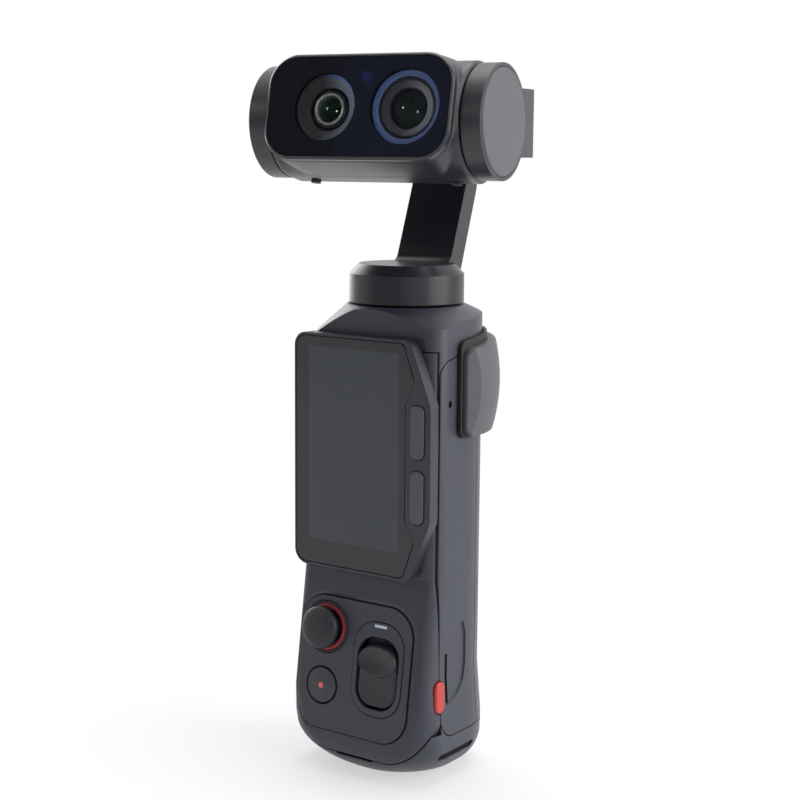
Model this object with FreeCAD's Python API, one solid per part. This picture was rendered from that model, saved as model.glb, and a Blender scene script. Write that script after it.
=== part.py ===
import FreeCAD, Part
import math
import os

V = FreeCAD.Vector
os.makedirs("parts", exist_ok=True)

# Pocket gimbal camera, in millimetres.
# +Z is up, the screen looks along -Y, +X is the viewer's right.
# The origin is the middle of the foot, under the pan axis.

# Handle, outer form
half_width = 18.3
foot_flare = 0.8
flare_top_z = 24.0
flare_foot_z = 12.0
rear_y = 14.2
rear_flat_half = 2.3
plate_y = -14.2
plate_foot_z = 46.4
panel_lean = 0.14
left_corner = 2.0
right_corner = 3.7
plate_corner = 1.5
foot_flat_half = 9.6
foot_corner = 14.0
foot_corner_gap = 0.6
chin_radius = 10.0
heel_radius = 7.0
foot_floor_z = 7.4
shoulder_z = 105.0
shoulder_radius = 13.2
shoulder_slope = 0.46
brow_slope = 0.9
brow_shift_x = 3.3
brow_shift_y = 2.3
wall = 1.6
rear_radius = half_width - rear_flat_half
side_foot_radius = half_width + foot_flare - foot_flat_half

# Seams between the covers
seam = 0.25
dock_y = -12.45
unit_gap = 0.75
base_seam_z = 10.6
cover_foot_corner = 4.5
rear_seam_y = 2.1
arch_front_z = 93.9
arch_slope = 0.226
arch_corner = 3.2
unit_top_z = 96.2
unit_foot_z = 4.8
unit_half_width = half_width + foot_flare + 0.1
unit_foot_radius = 12.3

# Screen module
screen_y = -17.2
screen_left = 0.1 - half_width
screen_right = half_width + 0.2
screen_top_z = 98.9
screen_foot_z = 46.4
band_chamfer_x = 5.4
band_chamfer_z = 13.6
screen_rim = 0.75
glass_thick = 0.8
glass_left = screen_left + 0.6
glass_edge = screen_right - 6.6
glass_shoulder = screen_right - 4.3
display_left_rim = 2.95
display_right_rim = 1.65
display_top_rim = 2.95
display_width = glass_edge - glass_left - display_left_rim - display_right_rim
display_height = display_width * 16 / 9
display_x = glass_left + display_left_rim + display_width / 2
display_z = screen_top_z - display_top_rim - display_height / 2
housing_floor = 1.0
key_x = screen_right - 3.3
key_width = 3.4
key_height = 11.6
key_pitch = 14.1
key_mid_z = 72.4
key_proud = 0.5
key_gap = 0.12
key_skin = 1.0
key_flange = 0.5

# Control panel, measured on its own sloping plane
panel_origin_z = 16.5
panel_thick = 1.2
panel_radius = 6.5
groove_width = 0.8
groove_depth = 0.35
fit = 0.2
stick_x = 8.3 - half_width
stick_v = 16.0
stick_ring_radius = 5.8
stick_ring_proud = 0.3
stick_cap_radius = 4.9
stick_cap_low = 1.9
stick_cap_high = 3.2
stick_stem_radius = 1.3
stick_pivot = 2.7
stick_pin = 0.45
stick_cross_outer = 2.9
stick_cross_inner = 1.9
stick_cross_thick = 1.3
stick_cup_radius = 3.7
stick_cup_wall = 0.55
stick_depth = 3.9
pin_gap = 0.05
record_radius = 4.2
record_gap = 3.3
record_x = stick_x + 0.1
record_v = stick_v - stick_ring_radius - record_gap - record_radius
pill_width = 13.2
pill_height = 20.8
pill_radius = 5.6
controls_gap = 2.6
rocker_x = stick_x + stick_ring_radius + controls_gap + pill_width / 2
panel_left = stick_x - stick_ring_radius - 1.1
panel_right = rocker_x + pill_width / 2 + 1.9
panel_top = stick_v + stick_ring_radius + 1.2
panel_foot = record_v - record_radius - 5.5
panel_width = panel_right - panel_left
panel_height = panel_top - panel_foot
panel_x = (panel_left + panel_right) / 2
panel_v = (panel_top + panel_foot) / 2
rocker_v = panel_v + 0.9
well_width = pill_width - 2.0
well_height = pill_height - 4.6
well_v = rocker_v - 0.9
well_radius = 4.6
rocker_gap = 0.45
rocker_side_gap = 0.3
rocker_pivot = 2.3
rocker_pin = 0.6
rocker_deep = 0.9
pad_proud = 0.95
pad_margin = 1.4
low_pad_height = 5.6
pad_radius = 3.1
low_pad_radius = 1.9
pad_height = well_height - 2 * rocker_gap - 2 * pad_margin - 0.1 - low_pad_height
light_width = 3.3
light_height = 0.6
light_v = rocker_v + pill_height / 2 - 0.8

# Front unit tub behind the controls
tub_half_width = half_width - 3.2
tub_foot_z = 8.6
tub_top_z = 44.6
tub_y = -10.9
tub_wall = 0.6
unit_battery_left = -0.6
unit_battery_right = tub_half_width - 1.3
unit_battery_low_z = tub_foot_z + 4.4
unit_battery_top_z = tub_top_z - 3.6
unit_board_left = 2.4 - tub_half_width
unit_board_right = unit_battery_left - 0.5
unit_board_low_z = tub_foot_z + 4.2
unit_board_top_z = tub_foot_z + 17.4

# Inside the handle
chassis_gap = 0.15
chassis_wall = 1.2
board_y = -9.9
board_thick = 0.9
board_low_z = plate_foot_z + 1.6
board_top_z = unit_top_z - 5.2
post_x = half_width - 6.3
battery_y = -6.8
battery_rear_gap = 7.8
battery_half_width = half_width - 7.5
battery_top_z = unit_top_z - 23.2
contact_z = plate_foot_z + 8.6

# Side features
card_y = -9.7
card_mid_z = 23.9
card_width = 11.0
card_length = 15.0
card_thick = 1.0
slot_gap = 0.2
scoop_depth = 0.35
card_sink = 1.5
release_z = 20.5
release_height = 7.2
release_width = 3.5
release_proud = 0.55
release_inner = tub_half_width + 1.0
mic_y = -9.4
mic_z = 84.9
mic_height = 1.6
port_y = -3.0
port_z = 22.0
port_width = 8.94
port_thick = 3.26
port_depth = 7.0

# Foot
thread_radius = 3.175
thread_depth = 7.0
insert_radius = 4.8
screw_x = insert_radius + 2.8
screw_head = 0.9
slot_width = 1.9
slot_length = 13.6
slot_y = -5.6
slot_tilt = 25.0
slot_depth = 4.0
slot_z = 7.8
nail_slot_x = -0.3
nail_slot_length = 10.0
nail_slot_height = 0.7
nail_slot_end = -15.2

# Clip round the upper back
clip_foot_z = 77.4
clip_front_y = -6.0
clip_top_z = 96.6
clip_slope = 0.09
clip_gap = 0.28
clip_liner = 0.75
clip_liner_lip = 0.8
clip_offset = 4.1
clip_bulge = 2.2
clip_bevel = 2.8
clip_edge = 1.0
clip_round = 0.6

# Pan ring and motor
ring_radius = 12.8
ring_gap = 0.45
ring_wall_top_z = 111.7
ring_top_z = 113.9
ring_chamfer = 2.1
pocket_radius = 11.4
stator_radius = 9.4
stator_bore = 4.05
shaft_radius = 2.0
magnet_gap = 0.5

# Gimbal arm, measured in the plane of the arm
pan_rest = 8.8
arm_half_width = 6.8
arm_foot_y = 8.3
arm_top_y = 16.6
arm_thick = 6.1
arm_bend_z = 131.5
arm_fillet = 2.6
tilt_z = 144.6
tilt_forward = 10.3
roll_radius = 7.8
roll_case_front = 13.3
roll_case_rear = 23.0
roll_bore = 6.4
roll_shaft = 2.9

# Yoke
head_half_length = 22.4
disc_radius = 12.15
disc_gap = 0.35
disc_thick = 4.35
disc_inner_x = head_half_length + disc_gap
disc_outer_x = disc_inner_x + disc_thick
cap_radius = 11.25
cap_thick = 0.85
cap_proud = 0.3
yoke_arm_inset = 0.95
yoke_arm_thick = 2.8
yoke_arm_inner_x = disc_inner_x + yoke_arm_inset
yoke_arm_outer_x = yoke_arm_inner_x + yoke_arm_thick
yoke_half_height = 7.3
gusset_half_height = 10.6
gusset_front = 5.6
gusset_rear = 10.8
yoke_back_front = 16.3
yoke_back_rear = 20.2
trunnion_radius = 2.5
trunnion_gap = 0.06

# Camera head
tilt_rest = 12.0
head_half_height = 12.4
head_front_round = 11.5
head_rear_y = 8.0
head_rear_round = 5.0
nose_y = -14.3
nose_setback = 0.7
nose_half_width = head_half_length - nose_setback
nose_half_height = 11.15
nose_radius = 6.7
nose_widen = 0.55
nose_band = 3.6
nose_root_y = 2.0
head_wall = 1.3
bezel_depth = 1.4
bezel_width = 0.62
glass_sink = 0.15
lens_glass_thick = 1.0
main_x = -7.6
tele_x = 11.0
main_cone_radius = 7.3
main_barrel_radius = 4.2
main_bore = 2.9
tele_ring_radius = 7.85
tele_ring_width = 1.25
tele_bore = 4.2
sensor_y = -3.9
rear_cover_width = 2 * head_half_length - 12.0
rear_cover_height = 14.8
rear_cover_radius = 2.9
bumper_x = head_half_length - 5.4
bumper_y = 4.0


def on_xy(z):
    return lambda u, v: V(u, v, z)


def on_xz(y):
    return lambda u, v: V(u, y, v)


def on_yz(x):
    return lambda u, v: V(x, u, v)


def outline(corners, put):
    """Closed wire through corners (u, v, radius), each corner rounded by its radius."""
    count = len(corners)
    joints = []
    for i in range(count):
        u, v, radius = corners[i]
        before = corners[i - 1]
        after = corners[(i + 1) % count]
        here = FreeCAD.Vector(u, v, 0)
        back = (FreeCAD.Vector(before[0], before[1], 0) - here).normalize()
        ahead = (FreeCAD.Vector(after[0], after[1], 0) - here).normalize()
        if radius <= 0:
            joints.append((here, None, here))
            continue
        half = back.getAngle(ahead) / 2
        reach = radius / math.tan(half)
        inward = (back + ahead).normalize()
        centre = here + inward * (radius / math.sin(half))
        joints.append((here + back * reach, centre - inward * radius, here + ahead * reach))
    edges = []
    for i in range(count):
        start, middle, end = joints[i]
        if middle is not None:
            arc = Part.Arc(put(start.x, start.y), put(middle.x, middle.y), put(end.x, end.y))
            edges.append(arc.toShape())
        follow = joints[(i + 1) % count][0]
        if (follow - end).Length > 1e-6:
            edges.append(Part.makeLine(put(end.x, end.y), put(follow.x, follow.y)))
    return Part.Wire(edges)


def prism(corners, put, travel):
    return Part.Face(outline(corners, put)).extrude(travel)


def rectangle(u, v, width, height, radius):
    a = width / 2
    b = height / 2
    return [(u - a, v - b, radius), (u + a, v - b, radius), (u + a, v + b, radius), (u - a, v + b, radius)]


def spanned(u0, u1, v0, v1, radius):
    return rectangle((u0 + u1) / 2, (v0 + v1) / 2, u1 - u0, v1 - v0, radius)


def block(x0, x1, y0, y1, z0, z1):
    return Part.makeBox(x1 - x0, y1 - y0, z1 - z0, V(x0, y0, z0))


def rod(radius, start, end):
    path = end - start
    return Part.makeCylinder(radius, path.Length, start, path)


def tube(outer, inner, start, end):
    return rod(outer, start, end).cut(rod(inner, start, end))


def turned(profile, centre):
    """Solid turned from (radius, along) points about a line along Y through centre."""
    points = [V(r, a, 0) for r, a in profile]
    face = Part.Face(Part.makePolygon(points + [points[0]]))
    solid = face.revolve(V(0, 0, 0), V(0, 1, 0), 360)
    solid.translate(centre)
    return solid


def joined(shapes):
    result = shapes[0]
    for shape in shapes[1:]:
        result = result.fuse(shape)
    return result.removeSplitter()


def front_y(z):
    """Front face of the front unit, which leans forward below the screen."""
    return plate_y - panel_lean * (plate_foot_z - z)


def section(z, inset, half, front, rear, front_corners, rear_corners):
    least = 0.4
    left_radius, right_radius = front_corners
    corners = [
        (-half + inset, front + inset, max(left_radius - inset, least)),
        (half - inset, front + inset, max(right_radius - inset, least)),
        (half - inset, rear - inset, rear_corners - inset),
        (-half + inset, rear - inset, rear_corners - inset),
    ]
    return outline(corners, on_xy(z))


def rounding(radius, rise):
    """How far a quarter round of this radius has drawn in, at this rise above its foot."""
    if rise >= radius:
        return 0.0
    return radius - math.sqrt(radius * radius - (radius - rise) ** 2)


def foot_section(rise):
    """Plan of the rounded foot at this height."""
    drawn_in = rounding(side_foot_radius, rise)
    flare = foot_flare * min(1, (flare_top_z - rise) / (flare_top_z - flare_foot_z))
    half = half_width + flare - drawn_in
    front = front_y(rise) + rounding(chin_radius, rise)
    rear = rear_y + flare / 2 - rounding(heel_radius, rise)
    share = (1 - rise / flare_top_z) ** 2
    left = min(left_corner + (foot_corner - left_corner) * share, half - foot_corner_gap)
    right = min(right_corner + (foot_corner - right_corner) * share, half - foot_corner_gap)
    return section(rise, 0, half, front, rear, (left, right), rear_radius - drawn_in)


def shoulder_waste(inset, x, y, radius, slope):
    """What one cone of the shoulder takes off above the handle."""
    top = shoulder_z - inset
    corner = radius - inset * math.tan(math.atan(slope) / 2)
    far = 4 * half_width
    points = [V(0, 0, top), V(corner, 0, top), V(far, 0, top - slope * (far - corner)),
              V(far, 0, top + far), V(0, 0, top + far), V(0, 0, top)]
    cone = Part.Face(Part.makePolygon(points)).revolve(V(0, 0, 0), V(0, 0, 1), 360)
    cone.translate(V(x, y, 0))
    return cone


def handle_shaft(inset, low_z):
    """Upper handle with its round shoulder, which falls more steeply at the front left."""
    corners = (plate_corner, right_corner)
    foot = section(low_z, inset, half_width, plate_y, rear_y, corners, rear_radius)
    shaft = Part.Face(foot).extrude(V(0, 0, shoulder_z + 1 - low_z))
    shaft = shaft.cut(shoulder_waste(inset, 0, 0, shoulder_radius, shoulder_slope))
    reach_out = shoulder_radius + math.hypot(brow_shift_x, brow_shift_y)
    return shaft.cut(shoulder_waste(inset, brow_shift_x, brow_shift_y, reach_out, brow_slope))


def body_solid():
    """The whole handle with its front unit, as one solid."""
    corners = (left_corner, right_corner)
    middle = [
        section(plate_foot_z, 0, half_width, front_y(plate_foot_z), rear_y, corners, rear_radius),
        foot_section(flare_top_z),
        foot_section((flare_top_z + flare_foot_z) / 2),
        foot_section(flare_foot_z),
        foot_section(side_foot_radius),
    ]
    steps = [1.0, 0.82, 0.64, 0.48, 0.34, 0.22, 0.12, 0.05, 0.012, 0.0]
    foot = Part.makeLoft([foot_section(k * side_foot_radius) for k in steps], True, False)
    return joined([Part.makeLoft(middle, True, True), foot, handle_shaft(0, plate_foot_z)])


def arch_z(y):
    """Height of the seam below the top shell."""
    return arch_front_z + arch_slope * (y - dock_y)


def panel_place(shape):
    """From the control panel's own plane to the handle: local y is depth, local z runs up the slope."""
    shape = shape.copy()
    shape.rotate(V(0, 0, 0), V(1, 0, 0), -math.degrees(math.atan(panel_lean)))
    shape.translate(V(0, front_y(panel_origin_z), panel_origin_z))
    return shape


def yoke_place(shape):
    """From the tilt axis to the world, with the head's resting pan."""
    shape = shape.copy()
    shape.translate(V(0, -tilt_forward, tilt_z))
    shape.rotate(V(0, 0, 0), V(0, 0, 1), pan_rest)
    return shape


def pan_place(shape):
    shape = shape.copy()
    shape.rotate(V(0, 0, 0), V(0, 0, 1), pan_rest)
    return shape


def head_place(shape):
    """From the camera head's own frame, looking along -Y, to its resting tilt and pan."""
    shape = shape.copy()
    shape.rotate(V(0, 0, 0), V(1, 0, 0), -tilt_rest)
    return yoke_place(shape)


# Common solids of the handle
whole = body_solid()
hollow = handle_shaft(wall, foot_floor_z)
unit_y = dock_y - unit_gap
unit_outline = [
    (unit_half_width, unit_foot_z, unit_foot_radius),
    (unit_half_width, unit_top_z, 0),
    (-unit_half_width, unit_top_z, 0),
    (-unit_half_width, unit_foot_z, unit_foot_radius),
]
unit_room = [
    (unit_half_width + seam, unit_foot_z - seam, unit_foot_radius + seam),
    (unit_half_width + seam, unit_top_z + seam, 0),
    (-unit_half_width - seam, unit_top_z + seam, 0),
    (-unit_half_width - seam, unit_foot_z - seam, unit_foot_radius + seam),
]
unit_zone = prism(unit_outline, on_xz(-30), V(0, 30 + unit_y, 0))
unit_space = prism(unit_room, on_xz(-30), V(0, 30 + dock_y, 0))
reach = 30.0


def release_hole(gap):
    shape = rectangle(0, 0, release_width + 2 * gap, release_height + 2 * gap, release_width / 2 + gap - 0.01)
    corners = [(u + dock_y - unit_gap / 2, v + release_z, r) for u, v, r in shape]
    return prism(corners, on_yz(0), V(reach, 0, 0))


def side_zone(sign, grow=0):
    """Room of a side cover, or with its seam when grown."""
    corners = [
        (dock_y - grow, base_seam_z + seam - grow, cover_foot_corner + grow),
        (rear_seam_y, base_seam_z + seam - grow, 0),
        (rear_seam_y, arch_z(rear_seam_y) - seam, 0),
        (dock_y - grow, arch_z(dock_y) - seam, arch_corner),
    ]
    return prism(corners, on_yz(0), V(sign * reach, 0, 0))


def scoop(depth):
    """Leaf-shaped finger scoop beside the card slot, sunk evenly below the side face."""
    low = card_mid_z - card_width / 2
    front = card_y - card_thick / 2
    curves = [
        ((front + 0.4, low - 0.5), (front - 0.2, low + 4.6), (front + 0.1, low + 10.1)),
        ((front + 0.1, low + 10.1), (front + 2.6, low + 14.3), (front + 6.8, low + 17.3)),
        ((front + 6.8, low + 17.3), (front + 7.75, low + 15.1), (front + 7.9, low + 11.6)),
        ((front + 7.9, low + 11.6), (front + 8.0, low + 7.6), (front + 7.2, low + 4.0)),
        ((front + 7.2, low + 4.0), (front + 4.4, low + 1.0), (front + 0.4, low - 0.5)),
    ]
    edges = []
    for a, b, c in curves:
        arc = Part.Arc(V(0, a[0], a[1]), V(0, b[0], b[1]), V(0, c[0], c[1]))
        edges.append(arc.toShape())
    tool = Part.Face(Part.Wire(edges)).extrude(V(reach, 0, 0))
    keep = whole.copy()
    keep.translate(V(-depth, 0, 0))
    return tool.cut(keep)


def make_side_covers():
    shell = whole.cut(hollow)
    right = shell.common(side_zone(1))
    slot = block(half_width - 4, half_width + 4, card_y - card_thick / 2 - slot_gap,
                 card_y + card_thick / 2 + slot_gap, card_mid_z - card_width / 2 - slot_gap,
                 card_mid_z + card_width / 2 + slot_gap)
    mic = prism(rectangle(mic_y, mic_z, 1.2, mic_height, 0.55), on_yz(10), V(20, 0, 0))
    right = right.cut(scoop(scoop_depth)).cut(slot).cut(mic).cut(release_hole(fit))
    left = shell.common(side_zone(-1))
    port = prism(rectangle(port_y, port_z, port_thick + 0.3, port_width + 0.3, port_thick / 2 + 0.1),
                 on_yz(-30), V(20, 0, 0))
    mic_left = prism(rectangle(mic_y, mic_z, 1.2, mic_height, 0.55), on_yz(-30), V(20, 0, 0))
    left = left.cut(port).cut(mic_left)
    return right, left


def make_rear_cover():
    corners = [
        (rear_seam_y + seam, base_seam_z + seam, 0),
        (rear_y + 5, base_seam_z + seam, 0),
        (rear_y + 5, arch_z(rear_y + 5) - seam, 0),
        (rear_seam_y + seam, arch_z(rear_seam_y + seam) - seam, 0),
    ]
    zone = prism(corners, on_yz(-reach), V(2 * reach, 0, 0))
    return whole.cut(hollow).common(zone)


def make_top_shell():
    corners = [
        (rear_y + 5, arch_z(rear_y + 5), 0),
        (rear_y + 5, 120, 0),
        (-30, 120, 0),
        (-30, unit_top_z + seam, 0),
        (dock_y - 0.2, unit_top_z + seam, 0),
        (dock_y - 0.2, arch_z(dock_y), 0),
    ]
    zone = prism(corners, on_yz(-reach), V(2 * reach, 0, 0))
    shell = whole.cut(hollow).common(zone)
    hole = rod(stator_radius + 0.3, V(0, 0, shoulder_z - 8), V(0, 0, shoulder_z + 2))
    return shell.cut(hole)


def make_bottom_cap():
    corners = [
        (dock_y, 0 - 1, 0),
        (rear_y + 5, 0 - 1, 0),
        (rear_y + 5, base_seam_z, 0),
        (dock_y, base_seam_z, 0),
    ]
    zone = prism(corners, on_yz(-reach), V(2 * reach, 0, 0))
    cap = whole.common(zone)
    front = whole.common(block(-reach, reach, -reach, dock_y, -1, flare_foot_z)).cut(unit_space)
    cap = cap.fuse(front)
    rise = cover_foot_corner + seam
    corner = whole.common(block(-reach, reach, dock_y, dock_y + rise, base_seam_z - 0.5, base_seam_z + rise))
    cap = cap.fuse(corner.cut(side_zone(1, seam)).cut(side_zone(-1, seam)))
    cap = cap.cut(hollow)
    cap = cap.cut(rod(insert_radius, V(0, 0, -1), V(0, 0, thread_depth)))
    side_slot = prism(rectangle(slot_y, 0, slot_length, slot_width, slot_width / 2 - 0.01), on_yz(0), V(6, 0, 0))
    side_slot.rotate(V(0, 0, 0), V(0, 1, 0), slot_tilt)
    side_slot.translate(V(half_width + foot_flare - slot_depth, 0, slot_z))
    cap = cap.cut(side_slot)
    nail_slot = rectangle(nail_slot_x, unit_foot_z - nail_slot_height / 2, nail_slot_length, nail_slot_height, 0.3)
    nail_slot = prism(nail_slot, on_xz(-25), V(0, 25 + nail_slot_end, 0))
    cap = cap.cut(nail_slot)
    for x in (-screw_x, screw_x):
        cap = cap.cut(rod(1.35, V(x, 0, -1), V(x, 0, screw_head)))
        cap = cap.cut(rod(0.95, V(x, 0, -1), V(x, 0, base_seam_z)))
    return cap.removeSplitter()


def make_tripod_insert():
    return tube(insert_radius, thread_radius, V(0, 0, 0), V(0, 0, thread_depth))


def make_housing_screws():
    screws = []
    for x in (-screw_x, screw_x):
        head = rod(1.25, V(x, 0, 0.1), V(x, 0, screw_head))
        shank = rod(0.85, V(x, 0, screw_head), V(x, 0, base_seam_z + 1.0))
        socket = prism(hexagon(x, 0, 0.55), on_xy(0), V(0, 0, 0.55))
        screws.append(head.fuse(shank).cut(socket))
    return Part.makeCompound(screws)


def hexagon(x, y, radius):
    return [(x + radius * math.cos(math.radians(60 * k)), y + radius * math.sin(math.radians(60 * k)), 0)
            for k in range(6)]


def tub_block(gap, start_y, end_y):
    """Rounded block in the outline of the front unit's rear tub."""
    corners = [
        (tub_half_width + gap, tub_foot_z - gap, 8.0 + gap),
        (tub_half_width + gap, tub_top_z + gap, 2.0 + gap),
        (-tub_half_width - gap, tub_top_z + gap, 2.0 + gap),
        (-tub_half_width - gap, tub_foot_z - gap, 8.0 + gap),
    ]
    return prism(corners, on_xz(start_y), V(0, end_y - start_y, 0))


def make_chassis():
    low = base_seam_z + 0.2
    high = unit_top_z - 1.5
    outer = handle_shaft(wall + chassis_gap, low).common(block(-reach, reach, dock_y, reach, low, high))
    inner = handle_shaft(wall + chassis_gap + chassis_wall, low)
    lining = outer.cut(inner)
    plate = outer.common(block(-reach, reach, dock_y, dock_y + 1.1, plate_foot_z - 0.7, high))
    floor = outer.common(block(-reach, reach, dock_y + 2.6, reach, low, low + 1.4))
    frame = joined([lining, plate, floor])
    for x in (-post_x, post_x):
        for z in (board_low_z + 2.0, board_top_z - 2.0):
            frame = frame.fuse(rod(1.3, V(x, dock_y + 1.0, z), V(x, board_y, z)))
    card_room = card_width / 2 + 1.5
    frame = frame.cut(block(2, reach, card_y - 1.6, card_y + 1.6, card_mid_z - card_room, card_mid_z + card_room))
    port_room = port_width / 2 + 0.7
    frame = frame.cut(block(-reach, -4, port_y - 2.2, port_y + 2.2, port_z - port_room, port_z + port_room))
    frame = frame.cut(release_hole(0.4))
    frame = frame.cut(tub_block(0.2, dock_y - 1, tub_y + 0.2))
    for x in (-screw_x, screw_x):
        frame = frame.cut(rod(0.85, V(x, 0, 0), V(x, 0, base_seam_z + 1.0)))
    return frame.removeSplitter()


def make_main_board():
    middle = (board_low_z + board_top_z) / 2
    board = rectangle(0, middle, 2 * post_x + 3.0, board_top_z - board_low_z, 1.5)
    board = prism(board, on_xz(board_y), V(0, board_thick, 0))
    back = board_y + board_thick
    chips = [block(-10, 0, back, back + 1.4, middle + 4, middle + 14),
             block(2.5, 9.5, back, back + 1.1, middle - 10, middle),
             block(-9, -3, back, back + 0.9, middle - 16, middle - 8)]
    return joined([board] + chips)


def make_battery_pack():
    low = base_seam_z + 1.7
    shape = rectangle(0, (low + battery_top_z) / 2, 2 * battery_half_width, battery_top_z - low, 1.5)
    return prism(shape, on_xz(battery_y), V(0, rear_y - battery_rear_gap - battery_y, 0))


def make_card_reader():
    inner = half_width - wall - 0.1
    y0 = card_y - card_thick / 2 - 0.4
    y1 = card_y + card_thick / 2 + 0.4
    z0 = card_mid_z - card_width / 2 - 0.6
    z1 = card_mid_z + card_width / 2 + 0.6
    case = block(inner - card_length - 1.6, inner, y0, y1, z0, z1)
    room = block(inner - card_length - 0.9, inner + 1, card_y - card_thick / 2 - 0.06,
                 card_y + card_thick / 2 + 0.06, card_mid_z - card_width / 2 - 0.08,
                 card_mid_z + card_width / 2 + 0.08)
    return case.cut(room)


def make_memory_card():
    """Small card with the stepped nose that such cards have."""
    x1 = half_width - card_sink
    x0 = x1 - card_length
    z0 = card_mid_z - card_width / 2
    z1 = card_mid_z + card_width / 2
    corners = [(x1, z0, 0.7), (x1, z1, 0.7), (x0, z1, 0.5), (x0, z0 + 1.4, 0.4),
               (x0 + 5.6, z0 + 1.4, 0), (x0 + 7.0, z0, 0)]
    return prism(corners, on_xz(card_y - card_thick / 2), V(0, card_thick, 0))


def make_usb_c_port():
    outer_x = -(half_width - 0.35)
    corners = rectangle(port_y, port_z, port_thick, port_width, port_thick / 2 - 0.02)
    shell = prism(corners, on_yz(outer_x), V(port_depth, 0, 0))
    room = rectangle(port_y, port_z, port_thick - 0.7, port_width - 0.7, port_thick / 2 - 0.37)
    shell = shell.cut(prism(room, on_yz(outer_x - 1), V(port_depth, 0, 0)))
    tongue = block(outer_x + 1.0, outer_x + port_depth - 0.8, port_y - 0.35, port_y + 0.35,
                   port_z - 3.3, port_z + 3.3)
    return shell.fuse(tongue)


def make_dock_contacts():
    pins = []
    for k in range(4):
        x = -3.0 + 2.0 * k
        pins.append(rod(0.55, V(x, dock_y - unit_gap + 0.06, contact_z), V(x, dock_y, contact_z)))
    return Part.makeCompound(pins)


def make_release_button():
    edge = half_width + foot_flare * (flare_top_z - release_z) / (flare_top_z - flare_foot_z) + release_proud
    shape = rectangle(dock_y - unit_gap / 2, release_z, release_width, release_height,
                      release_width / 2 - 0.01)
    button = prism(shape, on_yz(release_inner), V(edge - release_inner, 0, 0))
    tips = [e for e in button.Edges if abs(e.CenterOfMass.x - edge) < 1e-3]
    return button.makeFillet(0.5, tips)


# Front unit
def panel_groove():
    """Shallow chamfer round the control panel's pocket."""
    wide = fit + 2 * groove_width
    outer = rectangle(panel_x, panel_v, panel_width + 2 * wide, panel_height + 2 * wide, panel_radius + wide)
    inner = rectangle(panel_x, panel_v, panel_width + 2 * fit, panel_height + 2 * fit, panel_radius + fit)
    return Part.makeLoft([outline(outer, on_xz(-groove_depth)), outline(inner, on_xz(groove_depth))], True, True)


def make_unit_shell():
    shell = whole.common(unit_zone)
    depth = (panel_thick + 1.2) * math.hypot(1, panel_lean)
    behind = prism([(front_y(0) + depth, 0, 0), (0, 0, 0), (0, plate_foot_z, 0),
                    (front_y(plate_foot_z) + depth, plate_foot_z, 0)], on_yz(-reach), V(2 * reach, 0, 0))
    shell = shell.cut(tub_block(0, -reach, unit_y).common(behind))
    pocket = rectangle(panel_x, panel_v, panel_width + 2 * fit, panel_height + 2 * fit, panel_radius + fit)
    pocket = prism(pocket, on_xz(-4), V(0, 4 + panel_thick + 0.05, 0))
    shell = shell.cut(panel_place(pocket)).cut(panel_place(panel_groove()))
    holes = [rod(stick_ring_radius - 0.7, V(stick_x, 0, stick_v), V(stick_x, 6, stick_v)),
             rod(record_radius + 0.9, V(record_x, 0, record_v), V(record_x, 6, record_v)),
             prism(rectangle(rocker_x, well_v, pill_width - 0.5, pill_height - 3.6, 4.0), on_xz(0), V(0, 6, 0))]
    for hole in holes:
        shell = shell.cut(panel_place(hole))
    return shell.cut(release_hole(fit)).removeSplitter()


def make_unit_tub():
    tub = tub_block(-0.1, unit_y - 0.6, tub_y)
    tub = tub.cut(tub_block(-0.1 - tub_wall, unit_y - 1.6, tub_y - tub_wall))
    return tub.cut(unit_shell)


def screen_corners(inset):
    """Screen module seen from the front: straight on the left, chamfered on the right."""
    left = screen_left + inset
    right = screen_right - inset
    top = screen_top_z - inset
    foot = screen_foot_z + inset
    run_x = band_chamfer_x
    run_z = band_chamfer_z
    slant = inset * 0.45
    return [
        (left, foot, 3.4 - inset),
        (right - run_x - slant, foot, 2.2),
        (right, foot + run_z - slant, 3.0),
        (right, top - run_z + slant, 3.0),
        (right - run_x - slant, top, 2.2),
        (left, top, 3.0 - inset),
    ]


def glass_corners(gap):
    """Cover glass: its right edge steps back round the two keys."""
    left = glass_left - gap
    top = screen_top_z - screen_rim + gap
    foot = screen_foot_z + screen_rim - gap
    edge = glass_edge + gap
    shoulder = glass_shoulder + gap
    return [
        (left, foot, 2.6),
        (edge - 0.6, foot, 1.4),
        (shoulder, foot + 8.0, 1.4),
        (edge, foot + 13.0, 1.6),
        (edge, top - 13.0, 1.6),
        (shoulder, top - 8.0, 1.4),
        (edge - 0.6, top, 1.4),
        (left, top, 2.6),
    ]


def key_centres():
    return [key_mid_z + key_pitch / 2, key_mid_z - key_pitch / 2]


def make_screen_housing():
    depth = plate_y - screen_y
    housing = prism(screen_corners(0), on_xz(screen_y), V(0, depth, 0))
    pocket = prism(glass_corners(fit), on_xz(screen_y - 1), V(0, 1 + glass_thick + 0.02, 0))
    housing = housing.cut(pocket)
    room = rectangle(display_x, display_z, display_width + 3.0, display_height + 3.6, 1.0)
    deep = prism(room, on_xz(screen_y - 1), V(0, 1 + depth - housing_floor, 0))
    housing = housing.cut(deep)
    for z in key_centres():
        slot = rectangle(key_x, z, key_width + 2 * key_gap, key_height + 2 * key_gap, 1.5 + key_gap)
        housing = housing.cut(prism(slot, on_xz(screen_y - 1), V(0, 6, 0)))
        back = rectangle(key_x, z, key_width + 2 * key_flange + 0.2, key_height + 2 * key_flange + 0.2, 1.2)
        housing = housing.cut(prism(back, on_xz(screen_y + key_skin), V(0, 6, 0)))
    return housing


def make_screen_glass():
    return prism(glass_corners(0), on_xz(screen_y), V(0, glass_thick, 0))


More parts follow.
